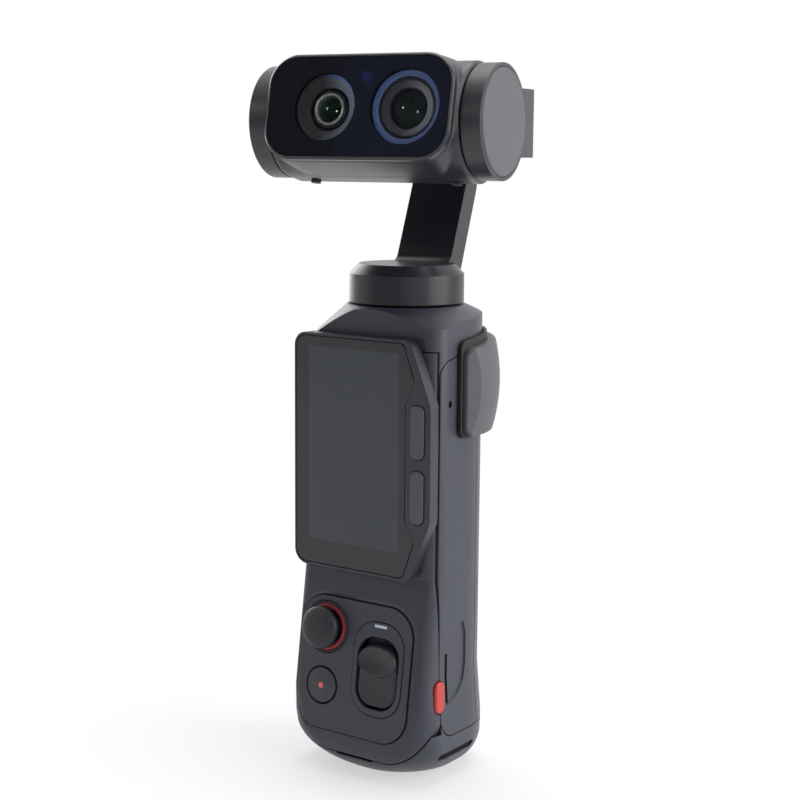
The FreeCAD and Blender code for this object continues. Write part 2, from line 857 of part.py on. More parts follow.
def make_display_panel():
    depth = plate_y - screen_y - housing_floor - glass_thick
    shape = rectangle(display_x, display_z, display_width + 2.2, display_height + 2.8, 0.8)
    return prism(shape, on_xz(screen_y + glass_thick), V(0, depth, 0))


def make_key(z):
    cap = prism(rectangle(key_x, z, key_width, key_height, 1.5), on_xz(screen_y - key_proud),
                V(0, key_proud + key_skin + 0.1, 0))
    crown = [e for e in cap.Edges if abs(e.CenterOfMass.y - (screen_y - key_proud)) < 1e-3]
    cap = cap.makeFillet(0.35, crown)
    flange = prism(rectangle(key_x, z, key_width + 2 * key_flange, key_height + 2 * key_flange, 1.1),
                   on_xz(screen_y + key_skin + 0.1), V(0, 0.8, 0))
    return cap.fuse(flange)


def make_control_panel():
    panel = prism(rectangle(panel_x, panel_v, panel_width, panel_height, panel_radius), on_xz(0),
                  V(0, panel_thick, 0))
    holes = [rod(stick_ring_radius + fit, V(stick_x, -1, stick_v), V(stick_x, 3, stick_v)),
             rod(record_radius + fit, V(record_x, -1, record_v), V(record_x, 3, record_v)),
             prism(rectangle(rocker_x, rocker_v, pill_width + 2 * fit, pill_height + 2 * fit, pill_radius + fit),
                   on_xz(-1), V(0, 4, 0))]
    for hole in holes:
        panel = panel.cut(hole)
    return panel_place(panel).common(whole)


def make_rocker_bezel():
    bezel = prism(rectangle(rocker_x, rocker_v, pill_width, pill_height, pill_radius), on_xz(-0.15),
                  V(0, panel_thick + 0.15, 0))
    well = prism(rectangle(rocker_x, well_v, well_width, well_height, well_radius), on_xz(-2), V(0, 5, 0))
    light = prism(rectangle(rocker_x, light_v, light_width + 0.1, light_height + 0.1, 0.3), on_xz(-2),
                  V(0, 5, 0))
    bezel = bezel.cut(well).cut(light)
    for sign in (-1, 1):
        ear = prism(rectangle(rocker_x + sign * (well_width / 2 + 0.32), well_v, 0.64, 4.4, 0.2),
                    on_xz(panel_thick - 0.1), V(0, rocker_pivot + 1.2 - panel_thick, 0))
        bezel = bezel.fuse(ear)
    bore = rod(rocker_pin + pin_gap, V(rocker_x - 8, rocker_pivot, well_v), V(rocker_x + 8, rocker_pivot, well_v))
    return panel_place(bezel.cut(bore))


def make_status_light():
    return panel_place(prism(rectangle(rocker_x, light_v, light_width, light_height, 0.25), on_xz(-0.15),
                             V(0, panel_thick + 0.15, 0)))


def make_zoom_rocker():
    """Rocker with a raised, dished thumb pad above and a lower pad sunk in the well."""
    half = well_height / 2 - rocker_gap
    back = rocker_pivot + rocker_deep
    width = well_width - 2 * rocker_side_gap
    profile = [
        (1.0, well_v - half, 0.3),
        (1.0, well_v + half, 0.3),
        (back - 0.4, well_v + half - 1.0, 0.3),
        (back, well_v, 2.0),
        (back - 0.4, well_v - half + 1.0, 0.3),
    ]
    body = prism(profile, on_yz(rocker_x - width / 2), V(width, 0, 0))
    sides = rectangle(rocker_x, well_v, width, 2 * half, well_radius - rocker_side_gap)
    body = body.common(prism(sides, on_xz(-3), V(0, 9, 0)))
    top_v = well_v + half - pad_margin - pad_height / 2
    low_v = well_v - half + pad_margin + low_pad_height / 2
    top = prism(rectangle(rocker_x, top_v, width, pad_height, pad_radius), on_xz(-pad_proud),
                V(0, pad_proud + 1.2, 0))
    low = prism(rectangle(rocker_x, low_v, width, low_pad_height, low_pad_radius), on_xz(0.3), V(0, 0.9, 0))
    rims = [e for e in top.Edges if abs(e.CenterOfMass.y + pad_proud) < 1e-3]
    top = top.makeFillet(0.5, rims)
    ball = Part.makeSphere(15.0, V(rocker_x, 0.4 - pad_proud - 15.0, top_v))
    hollow_ball = Part.makeSphere(15.0, V(rocker_x, 0.7 - 15.0, low_v))
    body = joined([body, top.cut(ball), low.cut(hollow_ball)])
    pins = rod(rocker_pin, V(rocker_x - width / 2 - 0.75, rocker_pivot, well_v),
               V(rocker_x + width / 2 + 0.75, rocker_pivot, well_v))
    return panel_place(body.fuse(pins))


def make_record_button():
    dome = 0.35
    cap = rod(record_radius, V(record_x, -dome, record_v), V(record_x, panel_thick + 0.1, record_v))
    crown = [e for e in cap.Edges if abs(e.CenterOfMass.y + dome) < 1e-3 and e.Length > 5]
    cap = cap.makeChamfer(0.2, crown)
    flange = rod(record_radius + 0.6, V(record_x, panel_thick + 0.1, record_v),
                 V(record_x, panel_thick + 0.7, record_v))
    return panel_place(cap.fuse(flange))


def make_joystick_base():
    ring = tube(stick_ring_radius, stick_cup_radius - 0.9, V(stick_x, -stick_ring_proud, stick_v),
                V(stick_x, panel_thick, stick_v))
    cup = tube(stick_cup_radius + stick_cup_wall, stick_cup_radius, V(stick_x, panel_thick - 0.2, stick_v),
               V(stick_x, stick_depth, stick_v))
    base = ring.fuse(cup)
    pins = rod(stick_pin + pin_gap, V(stick_x - 6, stick_pivot, stick_v), V(stick_x + 6, stick_pivot, stick_v))
    base = base.cut(pins.common(rod(stick_cup_radius + 0.5, V(stick_x, 0, stick_v), V(stick_x, 6, stick_v))))
    return panel_place(base.removeSplitter())


def make_joystick_cross():
    half = stick_cross_thick / 2
    ring = tube(stick_cross_outer, stick_cross_inner, V(stick_x, stick_pivot - half, stick_v),
                V(stick_x, stick_pivot + half, stick_v))
    pins = rod(stick_pin, V(stick_x - stick_cup_radius - 0.4, stick_pivot, stick_v),
               V(stick_x + stick_cup_radius + 0.4, stick_pivot, stick_v))
    bore = rod(stick_cross_inner, V(stick_x, 0, stick_v), V(stick_x, 6, stick_v))
    cross = ring.fuse(pins.cut(bore))
    through = rod(stick_pin + pin_gap, V(stick_x, stick_pivot, stick_v - 6), V(stick_x, stick_pivot, stick_v + 6))
    return panel_place(cross.cut(through).removeSplitter())


def make_joystick_cap():
    head = turned([(0, -stick_cap_high), (stick_cap_radius - 1.6, -stick_cap_high + 0.06),
                   (stick_cap_radius - 0.5, -stick_cap_high + 0.35), (stick_cap_radius, -stick_cap_high + 0.85),
                   (stick_cap_radius, -stick_cap_low - 0.15), (stick_cap_radius - 0.3, -stick_cap_low),
                   (0, -stick_cap_low)], V(stick_x, 0, stick_v))
    stem = rod(stick_stem_radius, V(stick_x, -stick_cap_low - 0.2, stick_v), V(stick_x, stick_pivot + 0.6, stick_v))
    pins = rod(stick_pin, V(stick_x, stick_pivot, stick_v - stick_cross_outer + 0.1),
               V(stick_x, stick_pivot, stick_v + stick_cross_outer - 0.1))
    return panel_place(joined([head, stem, pins]))


def make_unit_board():
    y0 = tub_y - tub_wall - 0.8
    shape = spanned(unit_board_left, unit_board_right, unit_board_low_z, unit_board_top_z, 1.0)
    return prism(shape, on_xz(y0), V(0, 0.75, 0))


def make_unit_battery():
    y0 = tub_y - tub_wall - 1.3
    shape = spanned(unit_battery_left, unit_battery_right, unit_battery_low_z, unit_battery_top_z, 1.0)
    return prism(shape, on_xz(y0), V(0, 1.25, 0))


def clip_zone(lip):
    """Side outline of the rear clip, whose top edge rises towards the back."""
    back = rear_y + 6
    front = clip_front_y - lip
    top = clip_top_z + 2 * lip
    corners = [
        (front, clip_foot_z - lip / 2, 2.2),
        (back, clip_foot_z - lip / 2, 0),
        (back, top + clip_slope * (back - front), 0),
        (front, top, 2.2),
    ]
    return prism(corners, on_yz(-reach), V(2 * reach, 0, 0))


def clip_section(z, offset):
    corners = (plate_corner, right_corner)
    return section(z, -offset, half_width, plate_y, rear_y, corners, rear_radius)


def on_clip_rim(edge):
    """Whether an edge runs along the clip's outer rim."""
    spot = edge.valueAt((edge.FirstParameter + edge.LastParameter) / 2)
    inner = half_width + clip_gap + clip_liner + 0.2
    across = abs(spot.x) > inner or spot.y > rear_y + clip_gap + clip_liner + 0.2
    return across and edge.Length > 2


def clip_bevel_waste(sign):
    """Slanted cut along the front edge of one clip arm."""
    near = half_width + clip_gap + clip_liner + clip_edge
    slope = clip_bevel / (half_width + clip_offset - near)
    far = half_width + 4 * clip_offset
    corners = [
        (sign * near, clip_front_y - 1, 0),
        (sign * near, clip_front_y, 0),
        (sign * far, clip_front_y + slope * (far - near), 0),
        (sign * far, clip_front_y - 1, 0),
    ]
    return prism(corners, on_xy(clip_foot_z - 9), V(0, 0, 60))


def make_rear_clip():
    middle = (clip_foot_z + clip_top_z) / 2 + 1.5
    span = (clip_top_z - clip_foot_z) / 2 + 3.5
    wires = []
    for k in (-1.0, -0.5, 0.0, 0.5, 1.0):
        wires.append(clip_section(middle + k * span, clip_offset - clip_bulge * k * k))
    outer = Part.makeLoft(wires, True, False)
    inner = Part.Face(clip_section(clip_foot_z - 9, clip_gap + clip_liner)).extrude(V(0, 0, 60))
    clip = outer.cut(inner).common(clip_zone(0))
    for sign in (-1, 1):
        clip = clip.cut(clip_bevel_waste(sign))
    rims = [e for e in clip.Edges if on_clip_rim(e)]
    return clip.makeFillet(clip_round, rims)


def make_clip_liner():
    outer = Part.Face(clip_section(clip_foot_z - 9, clip_gap + clip_liner)).extrude(V(0, 0, 60))
    inner = Part.Face(clip_section(clip_foot_z - 10, clip_gap)).extrude(V(0, 0, 62))
    return outer.cut(inner).common(clip_zone(clip_liner_lip))


# Pan ring and motor
def make_pan_ring():
    low = shoulder_z + ring_gap
    points = [V(0, 0, low), V(ring_radius, 0, low), V(ring_radius, 0, ring_wall_top_z),
              V(ring_radius - ring_chamfer, 0, ring_top_z), V(0, 0, ring_top_z), V(0, 0, low)]
    ring = Part.Face(Part.makePolygon(points)).revolve(V(0, 0, 0), V(0, 0, 1), 360)
    ring = ring.cut(rod(pocket_radius, V(0, 0, low - 1), V(0, 0, ring_wall_top_z - 0.6)))
    return ring.cut(rod(shaft_radius, V(0, 0, low), V(0, 0, ring_top_z - 1)))


def make_pan_shaft():
    return rod(shaft_radius, V(0, 0, unit_top_z - 3.2), V(0, 0, ring_top_z - 1))


def make_pan_magnets():
    low = shoulder_z + ring_gap + 0.2
    return tube(pocket_radius, stator_radius + magnet_gap, V(0, 0, low), V(0, 0, ring_wall_top_z - 0.8))


def make_pan_stator():
    top = ring_wall_top_z - 1.3
    inner_top = shoulder_z - wall
    core = rod(stator_radius, V(0, 0, inner_top - 1.3), V(0, 0, top))
    flange = rod(stator_radius + 1.6, V(0, 0, inner_top - 1.3), V(0, 0, inner_top - 0.1))
    neck = rod(stator_bore + 1.6, V(0, 0, unit_top_z - 2.5), V(0, 0, inner_top))
    stator = joined([core, flange, neck])
    return stator.cut(rod(stator_bore, V(0, 0, 80), V(0, 0, top + 1)))


def make_pan_bearings():
    rings = []
    for z in (unit_top_z - 2.3, ring_wall_top_z - 4.6):
        rings.append(tube(stator_bore, shaft_radius + pin_gap, V(0, 0, z), V(0, 0, z + 3.0)))
    return Part.makeCompound(rings)


def make_gimbal_arm():
    profile = [
        (arm_foot_y - 3.6, ring_wall_top_z - 2.7, 0),
        (arm_foot_y - 3.6, ring_top_z, 0),
        (arm_foot_y, ring_top_z, arm_fillet),
        (arm_top_y, arm_bend_z, 6.0),
        (arm_top_y, tilt_z, 0),
        (arm_top_y + arm_thick, tilt_z, 0),
        (arm_top_y + arm_thick, arm_bend_z - 0.6, 9.0),
        (arm_foot_y + arm_thick, ring_top_z - 1.4, 2.5),
        (arm_foot_y + 3.0, ring_wall_top_z - 2.7, 0),
    ]
    arm = prism(profile, on_yz(-arm_half_width), V(2 * arm_half_width, 0, 0))
    points = [V(0, 0, 100), V(ring_radius, 0, 100), V(ring_radius, 0, ring_wall_top_z),
              V(ring_radius - ring_chamfer, 0, ring_top_z), V(0, 0, ring_top_z), V(0, 0, 100)]
    arm = arm.cut(Part.Face(Part.makePolygon(points)).revolve(V(0, 0, 0), V(0, 0, 1), 360))
    case = rod(roll_radius, V(0, roll_case_front, tilt_z), V(0, roll_case_rear, tilt_z))
    arm = arm.fuse(case)
    arm = arm.cut(rod(roll_bore, V(0, roll_case_front - 1, tilt_z), V(0, roll_case_rear - 1.6, tilt_z)))
    return pan_place(arm.removeSplitter())


def make_roll_stator():
    ring = tube(roll_bore, roll_shaft + trunnion_gap, V(0, roll_case_front + 1.6, tilt_z),
                V(0, roll_case_rear - 1.6, tilt_z))
    return pan_place(ring)


# Yoke, drawn from the tilt axis
def make_yoke_frame():
    plan = [
        (-yoke_arm_outer_x, -2.0, 0),
        (-yoke_arm_inner_x, -2.0, 0),
        (-yoke_arm_inner_x, yoke_back_front, 1.6),
        (yoke_arm_inner_x, yoke_back_front, 1.6),
        (yoke_arm_inner_x, -2.0, 0),
        (yoke_arm_outer_x, -2.0, 0),
        (yoke_arm_outer_x, yoke_back_rear, 2.6),
        (-yoke_arm_outer_x, yoke_back_rear, 2.6),
    ]
    bow = prism(plan, on_xy(-gusset_half_height), V(0, 0, 2 * gusset_half_height))
    side = prism([(-3, -gusset_half_height, 0), (gusset_front, -gusset_half_height, 1.5),
                  (gusset_rear, -yoke_half_height, 2.5), (yoke_back_rear, -yoke_half_height, 1.8),
                  (yoke_back_rear, yoke_half_height, 1.8), (gusset_rear, yoke_half_height, 2.5),
                  (gusset_front, gusset_half_height, 1.5), (-3, gusset_half_height, 0)],
                 on_yz(-2 * reach), V(4 * reach, 0, 0))
    bow = bow.common(side)
    shapes = [bow]
    for sign in (-1, 1):
        shapes.append(rod(disc_radius, V(sign * disc_inner_x, 0, 0), V(sign * disc_outer_x, 0, 0)))
    frame = joined(shapes)
    for sign in (-1, 1):
        end = V(sign * (disc_outer_x + 3), 0, 0)
        frame = frame.cut(rod(cap_radius + 0.1, V(sign * (disc_outer_x + cap_proud - cap_thick), 0, 0), end))
        frame = frame.cut(rod(cap_radius - 0.9, V(sign * (disc_inner_x + 1.2), 0, 0), end))
        frame = frame.cut(rod(trunnion_radius + 0.3, V(sign * (disc_inner_x - 3), 0, 0), end))
    return yoke_place(frame.removeSplitter())


def make_yoke_caps():
    caps = []
    for sign in (-1, 1):
        start = disc_outer_x + cap_proud - cap_thick
        disc = Part.makeCylinder(cap_radius, cap_thick, V(sign * start, 0, 0), V(sign, 0, 0))
        rim = [e for e in disc.Edges if abs(e.CenterOfMass.x - sign * (start + cap_thick)) < 1e-3 and e.Length > 9]
        caps.append(disc.makeChamfer(0.3, rim))
    return yoke_place(Part.makeCompound(caps))


def make_tilt_stator():
    start = disc_inner_x + 1.2
    end = disc_outer_x + cap_proud - cap_thick
    return yoke_place(tube(cap_radius - 0.95, 5.1, V(start, 0, 0), V(end - 0.1, 0, 0)))


def make_tilt_bearings():
    rings = []
    start = disc_inner_x + 1.2
    for sign in (-1, 1):
        rings.append(tube(5.0, trunnion_radius + trunnion_gap, V(sign * start, 0, 0), V(sign * (start + 2.0), 0, 0)))
    return yoke_place(Part.makeCompound(rings))


def make_roll_rotor():
    hub = rod(roll_radius, V(0, yoke_back_rear, 0), V(0, roll_case_front - 0.3 + tilt_forward, 0))
    shaft = rod(roll_shaft, V(0, yoke_back_rear, 0), V(0, roll_case_rear - 2.2 + tilt_forward, 0))
    return yoke_place(hub.fuse(shaft).removeSplitter())


# Camera head, drawn in its own frame
def head_profile(inset):
    front = -head_half_height + inset
    return [
        (front, head_half_height - inset, head_front_round - inset),
        (head_rear_y - inset, head_half_height - inset, head_rear_round - inset),
        (head_rear_y - inset, -head_half_height + inset, head_rear_round - inset),
        (front, -head_half_height + inset, head_front_round - inset),
    ]


def nose_outline(inset):
    return rectangle(0, 0, 2 * (nose_half_width - inset), 2 * (nose_half_height - inset), nose_radius - inset)


def make_camera_casing():
    ledge_y = nose_y + bezel_depth
    barrel = prism(head_profile(0), on_yz(-head_half_length), V(2 * head_half_length, 0, 0))
    ends = [e for e in barrel.Edges
            if abs(abs(e.CenterOfMass.x) - head_half_length) < 1e-3]
    barrel = barrel.makeFillet(0.9, ends)
    front = outline(nose_outline(0), on_xz(ledge_y))
    back = outline(nose_outline(-nose_widen), on_xz(ledge_y + nose_band))
    buried = rectangle(0, 0, 2 * (head_half_length - 0.1), 2 * (head_half_height - 0.1), nose_radius + 1)
    root = outline(buried, on_xz(nose_root_y))
    nose = Part.makeLoft([front, back, root], True, False)
    casing = barrel.fuse(nose)
    room = prism(head_profile(head_wall), on_yz(-head_half_length + head_wall),
                 V(2 * (head_half_length - head_wall), 0, 0))
    mouth = prism(nose_outline(bezel_width + 0.9), on_xz(ledge_y - 1), V(0, 9.5, 0))
    casing = casing.cut(room).cut(mouth)
    window = rectangle(0, 0, rear_cover_width + 0.2, rear_cover_height + 0.2, rear_cover_radius + 0.1)
    window = prism(window, on_xz(head_rear_y - head_wall - 1), V(0, 4, 0))
    casing = casing.cut(window)
    holes = rod(trunnion_radius + 0.02, V(-2 * head_half_length, 0, 0), V(2 * head_half_length, 0, 0))
    return head_place(casing.cut(holes).removeSplitter())


def make_camera_bezel():
    outer = prism(nose_outline(0), on_xz(nose_y), V(0, bezel_depth, 0))
    rim = [e for e in outer.Edges if abs(e.CenterOfMass.y - nose_y) < 1e-3]
    outer = outer.makeChamfer(0.4, rim)
    return head_place(outer.cut(prism(nose_outline(bezel_width), on_xz(nose_y - 1), V(0, 4, 0))))


def make_camera_glass():
    start = nose_y + glass_sink
    return head_place(prism(nose_outline(bezel_width + 0.08), on_xz(start), V(0, lens_glass_thick, 0)))


glass_back = nose_y + glass_sink + lens_glass_thick


def make_main_cone():
    front = glass_back + 0.05
    cone = turned([(main_cone_radius, front), (main_cone_radius, front + 0.8),
                   (main_barrel_radius + 0.1, front + 2.6), (main_barrel_radius + 0.1, front + 1.9),
                   (main_cone_radius - 0.7, front)], V(main_x, 0, 0))
    return head_place(cone)


def make_main_barrel():
    front = glass_back + 1.6
    barrel = turned([(main_bore, front), (main_barrel_radius - 0.25, front), (main_barrel_radius, front + 0.25),
                     (main_barrel_radius, sensor_y), (main_bore, sensor_y)], V(main_x, 0, 0))
    return head_place(barrel)


def make_lens(x, radius, front, bulge, back):
    """Glass element with a domed front."""
    arc = Part.Arc(V(0, front - bulge, 0), V(radius * 0.52, front - bulge * 0.75, 0), V(radius, front, 0))
    edges = [arc.toShape(), Part.makeLine(V(radius, front, 0), V(radius, back, 0)),
             Part.makeLine(V(radius, back, 0), V(0, back, 0)),
             Part.makeLine(V(0, back, 0), V(0, front - bulge, 0))]
    lens = Part.Face(Part.Wire(edges)).revolve(V(0, 0, 0), V(0, 1, 0), 360)
    lens.translate(V(x, 0, 0))
    return head_place(lens)


def make_tele_ring():
    front = glass_back + 0.05
    return head_place(tube(tele_ring_radius, tele_ring_radius - tele_ring_width, V(tele_x, front, 0),
                           V(tele_x, front + 0.9, 0)))


def make_tele_barrel():
    front = glass_back + 0.45
    outer = tele_ring_radius - tele_ring_width - 0.05
    barrel = turned([(tele_bore, front + 0.9), (outer, front), (outer, sensor_y), (tele_bore, sensor_y)],
                    V(tele_x, 0, 0))
    return head_place(barrel)


def make_sensor_board():
    width = 2 * nose_half_width - 9.4
    board = prism(rectangle(1.0, 0, width, 2 * nose_half_height - 5.3, 1.5), on_xz(sensor_y), V(0, 1.0, 0))
    pads = [block(main_x - 2.2, main_x + 2.2, sensor_y - 1.2, sensor_y, -1.7, 1.7),
            block(tele_x - 3.2, tele_x + 3.2, sensor_y - 1.2, sensor_y, -2.4, 2.4)]
    return head_place(joined([board] + pads))


def make_focus_sensor():
    return head_place(rod(0.95, V(1.6, glass_back + 0.05, 6.2), V(1.6, glass_back + 1.4, 6.2)))


def make_head_rear_cover():
    plate = rectangle(0, 0, rear_cover_width, rear_cover_height, rear_cover_radius)
    plate = prism(plate, on_xz(head_rear_y - 1.2), V(0, 1.2, 0))
    for k in range(7):
        x = -12.0 + 4.0 * k
        plate = plate.cut(prism(rectangle(x, 0, 1.2, 8.0, 0.55), on_xz(head_rear_y - 0.6), V(0, 1, 0)))
    return head_place(plate)


def make_tilt_shafts():
    shafts = []
    for sign in (-1, 1):
        end = head_half_length - head_wall
        pin = rod(trunnion_radius, V(sign * (end - 1.2), 0, 0), V(sign * (disc_outer_x - 1.2), 0, 0))
        flange = rod(4.2, V(sign * (end - 1.2), 0, 0), V(sign * end, 0, 0))
        shafts.append(pin.fuse(flange))
    return head_place(Part.makeCompound(shafts))


def make_head_bumpers():
    pads = []
    for sign in (-1, 1):
        pads.append(rod(1.1, V(sign * bumper_x, bumper_y - 2, -head_half_height),
                        V(sign * bumper_x, bumper_y - 2, -head_half_height - 0.6)))
    return head_place(Part.makeCompound(pads))


right_cover, left_cover = make_side_covers()
unit_shell = make_unit_shell()
upper_key, lower_key = [make_key(z) for z in key_centres()]

pieces = {
    "side_cover_right": right_cover,
    "side_cover_left": left_cover,
    "rear_cover": make_rear_cover(),
    "top_shell": make_top_shell(),
    "bottom_cap": make_bottom_cap(),
    "chassis": make_chassis(),
    "tripod_insert": make_tripod_insert(),
    "housing_screws": make_housing_screws(),
    "main_board": make_main_board(),
    "battery_pack": make_battery_pack(),
    "card_reader": make_card_reader(),
    "memory_card": make_memory_card(),
    "usb_c_port": make_usb_c_port(),
    "dock_contacts": make_dock_contacts(),
    "release_button": make_release_button(),
    "unit_shell": unit_shell,
    "unit_tub": make_unit_tub(),
    "unit_board": make_unit_board(),
    "unit_battery": make_unit_battery(),
    "screen_housing": make_screen_housing(),
    "screen_glass": make_screen_glass(),
    "display_panel": make_display_panel(),
    "upper_key": upper_key,
    "lower_key": lower_key,
    "control_panel": make_control_panel(),
    "rocker_bezel": make_rocker_bezel(),
    "status_light": make_status_light(),
    "zoom_rocker": make_zoom_rocker(),
    "record_button": make_record_button(),
    "joystick_base": make_joystick_base(),
    "joystick_cross": make_joystick_cross(),
    "joystick_cap": make_joystick_cap(),
    "rear_clip": make_rear_clip(),
    "clip_liner": make_clip_liner(),
    "pan_ring": make_pan_ring(),
    "pan_shaft": make_pan_shaft(),
    "pan_magnets": make_pan_magnets(),
    "pan_stator": make_pan_stator(),
    "pan_bearings": make_pan_bearings(),
    "gimbal_arm": make_gimbal_arm(),
    "roll_stator": make_roll_stator(),
    "yoke_frame": make_yoke_frame(),
    "yoke_caps": make_yoke_caps(),
    "tilt_stator": make_tilt_stator(),
    "tilt_bearings": make_tilt_bearings(),
    "roll_rotor": make_roll_rotor(),
    "camera_casing": make_camera_casing(),
    "camera_bezel": make_camera_bezel(),
    "camera_glass": make_camera_glass(),
    "main_lens_cone": make_main_cone(),
    "main_lens_barrel": make_main_barrel(),
    "main_lens_element": make_lens(main_x, main_bore, glass_back + 2.2, 0.5, glass_back + 3.6),
    "tele_lens_ring": make_tele_ring(),
    "tele_lens_barrel": make_tele_barrel(),
    "tele_lens_element": make_lens(tele_x, tele_bore, glass_back + 2.4, 0.7, glass_back + 4.0),
    "sensor_board": make_sensor_board(),
    "focus_sensor": make_focus_sensor(),
    "head_rear_cover": make_head_rear_cover(),
    "tilt_shafts": make_tilt_shafts(),
    "head_bumpers": make_head_bumpers(),
}

for name, shape in pieces.items():
    shape.exportStep("parts/" + name + ".step")
    print(name, len(shape.Solids), round(shape.Volume, 1), shape.isValid())
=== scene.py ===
import math

import bmesh
import bpy
from mathutils import Matrix, Vector
from mathutils.bvhtree import BVHTree


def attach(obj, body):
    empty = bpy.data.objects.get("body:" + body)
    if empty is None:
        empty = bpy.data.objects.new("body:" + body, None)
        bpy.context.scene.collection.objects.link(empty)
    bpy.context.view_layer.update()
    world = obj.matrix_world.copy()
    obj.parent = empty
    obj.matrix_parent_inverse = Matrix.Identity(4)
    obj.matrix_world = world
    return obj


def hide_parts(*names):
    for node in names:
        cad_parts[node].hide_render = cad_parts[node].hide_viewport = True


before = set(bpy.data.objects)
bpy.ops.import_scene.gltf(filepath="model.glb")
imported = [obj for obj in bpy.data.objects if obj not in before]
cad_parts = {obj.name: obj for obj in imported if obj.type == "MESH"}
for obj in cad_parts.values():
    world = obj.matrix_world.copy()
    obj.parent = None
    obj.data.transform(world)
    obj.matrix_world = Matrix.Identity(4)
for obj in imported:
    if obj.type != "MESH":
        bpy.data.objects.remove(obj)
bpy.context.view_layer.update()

# The frame and the studio round it are in metres. The part's own lengths are in millimetres.
MM = 0.001

# Resting place of the camera head, whose own frame looks along -Y
PAN_REST = math.radians(8.8)
TILT_REST = math.radians(12.0)
TILT_AXIS = Vector((0.0, -10.3, 144.6)) * MM
HEAD = (
    Matrix.Rotation(PAN_REST, 4, "Z")
    @ Matrix.Translation(TILT_AXIS)
    @ Matrix.Rotation(-TILT_REST, 4, "X")
)

# Sloping plane of the controls, with Y into the panel
PANEL_LEAN = math.atan(0.14)
PANEL_FOOT = Vector((0.0, -18.386, 16.5)) * MM
PANEL = Matrix.Translation(PANEL_FOOT) @ Matrix.Rotation(-PANEL_LEAN, 4, "X")

# Frame of the solids
SOLIDS = Matrix.Identity(4)

# Lenses, in the head's own frame
GLASS_BACK = -13.15
MAIN_X = -7.6
TELE_X = 11.0
MAIN_WINDOW = 7.15
TELE_WINDOW = 6.6

# Controls, as (x, z) on the sloping plane, and the depth of the joystick's pivot
STICK = (-10.0, 16.0)
STICK_PIVOT = 2.7
RECORD = (-9.9, 2.7)
ROCKER = (5.0, 7.4)

# Lit area of the screen
DISPLAY_X = (-14.2, 10.25)
DISPLAY_Z = (52.5, 95.95)

# Camera of the photograph
CAMERA_PLACE = Vector((207.41, -295.63, 138.21)) * MM
CAMERA_YAW = math.radians(35.26)
CAMERA_PITCH = math.radians(-8.69)
CAMERA_ROLL = math.radians(0.46)
CAMERA_LENS = 72.88
CAMERA_SENSOR = 36.0
CAMERA_CLIP = (0.01, 100.0)

# Studio, in metres
WORLD_GLOW = 0.42
FLOOR_RADIUS = 6.0
FLOOR_DROP = 0.00005
FLOOR_FADE = (0.05, 0.45)
FLOOR_NEAR_WHITE = 0.55
CARD_HALF = 0.75
CARD_MIDDLE = Vector((0.0, 0.0, 0.45))
CARD_TOWARDS = Vector((-0.10, -0.99, 0.10)).normalized()
CARD_DISTANCE = 0.95
ON_BODY = (0.0, 0.0, 0.08)
ON_HEAD = (0.0, 0.0, 0.14)

# Name, place, target, size and watts of each lamp
LAMPS = (
    ("right_softbox", (1.10, 0.30, 0.40), ON_BODY, (1.0, 1.1), 16.0),
    ("top_softbox", (0.0, 0.25, 1.10), ON_BODY, (1.0, 0.8), 8.0),
    ("left_softbox", (-1.0, 0.45, 0.40), ON_BODY, (0.6, 0.9), 5.0),
    ("glint_left", (-0.42, -0.60, 0.46), ON_HEAD, (0.05, 0.05), 0.4),
    ("glint_right", (-0.02, -0.78, 0.42), ON_HEAD, (0.05, 0.05), 0.4),
)

# Noise mostly lies between these
NOISE_LOW = 0.3
NOISE_HIGH = 0.7

# Cosine between the bevelled and the true normal, where the lighter edge, rubbing and painted
# highlight, starts and where it is full
RUB_AND_HIGHLIGHT_START = 0.97
RUB_AND_HIGHLIGHT_FULL = 0.75

# Radius of the points of a turned profile that lie on its axis
ON_AXIS = 0.0001

# Sign along X and name of each side
SIDES = ((-1, "left"), (1, "right"))


def new_material(name):
    """A material with its shader and the coordinates of the piece it is on."""
    material = bpy.data.materials.new(name)
    material.use_nodes = True
    tree = material.node_tree
    shader = tree.nodes["Principled BSDF"]
    coordinates = tree.nodes.new("ShaderNodeTexCoord")
    return material, tree, shader, coordinates.outputs["Object"]


def noise(tree, place, size, detail=2.0, stretch=None):
    """Noise whose features are about size millimetres across."""
    if stretch is not None:
        mapping = tree.nodes.new("ShaderNodeMapping")
        mapping.inputs["Scale"].default_value = stretch
        tree.links.new(place, mapping.inputs["Vector"])
        place = mapping.outputs["Vector"]
    made = tree.nodes.new("ShaderNodeTexNoise")
    made.inputs["Scale"].default_value = 1 / (size * MM)
    made.inputs["Detail"].default_value = detail
    tree.links.new(place, made.inputs["Vector"])
    return made.outputs["Fac"]


def remap(tree, value, low, high, to_low, to_high, smooth=False):
    """Carries low..high over to to_low..to_high and holds the ends."""
    made = tree.nodes.new("ShaderNodeMapRange")
    if smooth:
        made.interpolation_type = "SMOOTHSTEP"
    numbers = (("From Min", low), ("From Max", high), ("To Min", to_low), ("To Max", to_high))
    for name, number in numbers:
        made.inputs[name].default_value = number
    tree.links.new(value, made.inputs["Value"])
    return made.outputs["Result"]


def spread(tree, cloud, low, high):
    """Noise spread over low..high."""
    return remap(tree, cloud, NOISE_LOW, NOISE_HIGH, low, high)


def math_node(tree, kind, a, b=None):
    """Result of an operation on one or two values, each a number or the output of a node."""
    made = tree.nodes.new("ShaderNodeMath")
    made.operation = kind
    for socket, value in zip(made.inputs, (a, b)):
        if value is None:
            continue
        if isinstance(value, (int, float)):
            socket.default_value = value
        else:
            tree.links.new(value, socket)
    return made.outputs["Value"]


def waves(tree, value, pitch):
    """Sine of a length in metres, with a pitch in millimetres."""
    return math_node(tree, "SINE", math_node(tree, "MULTIPLY", value, 2 * math.pi / (pitch * MM)))


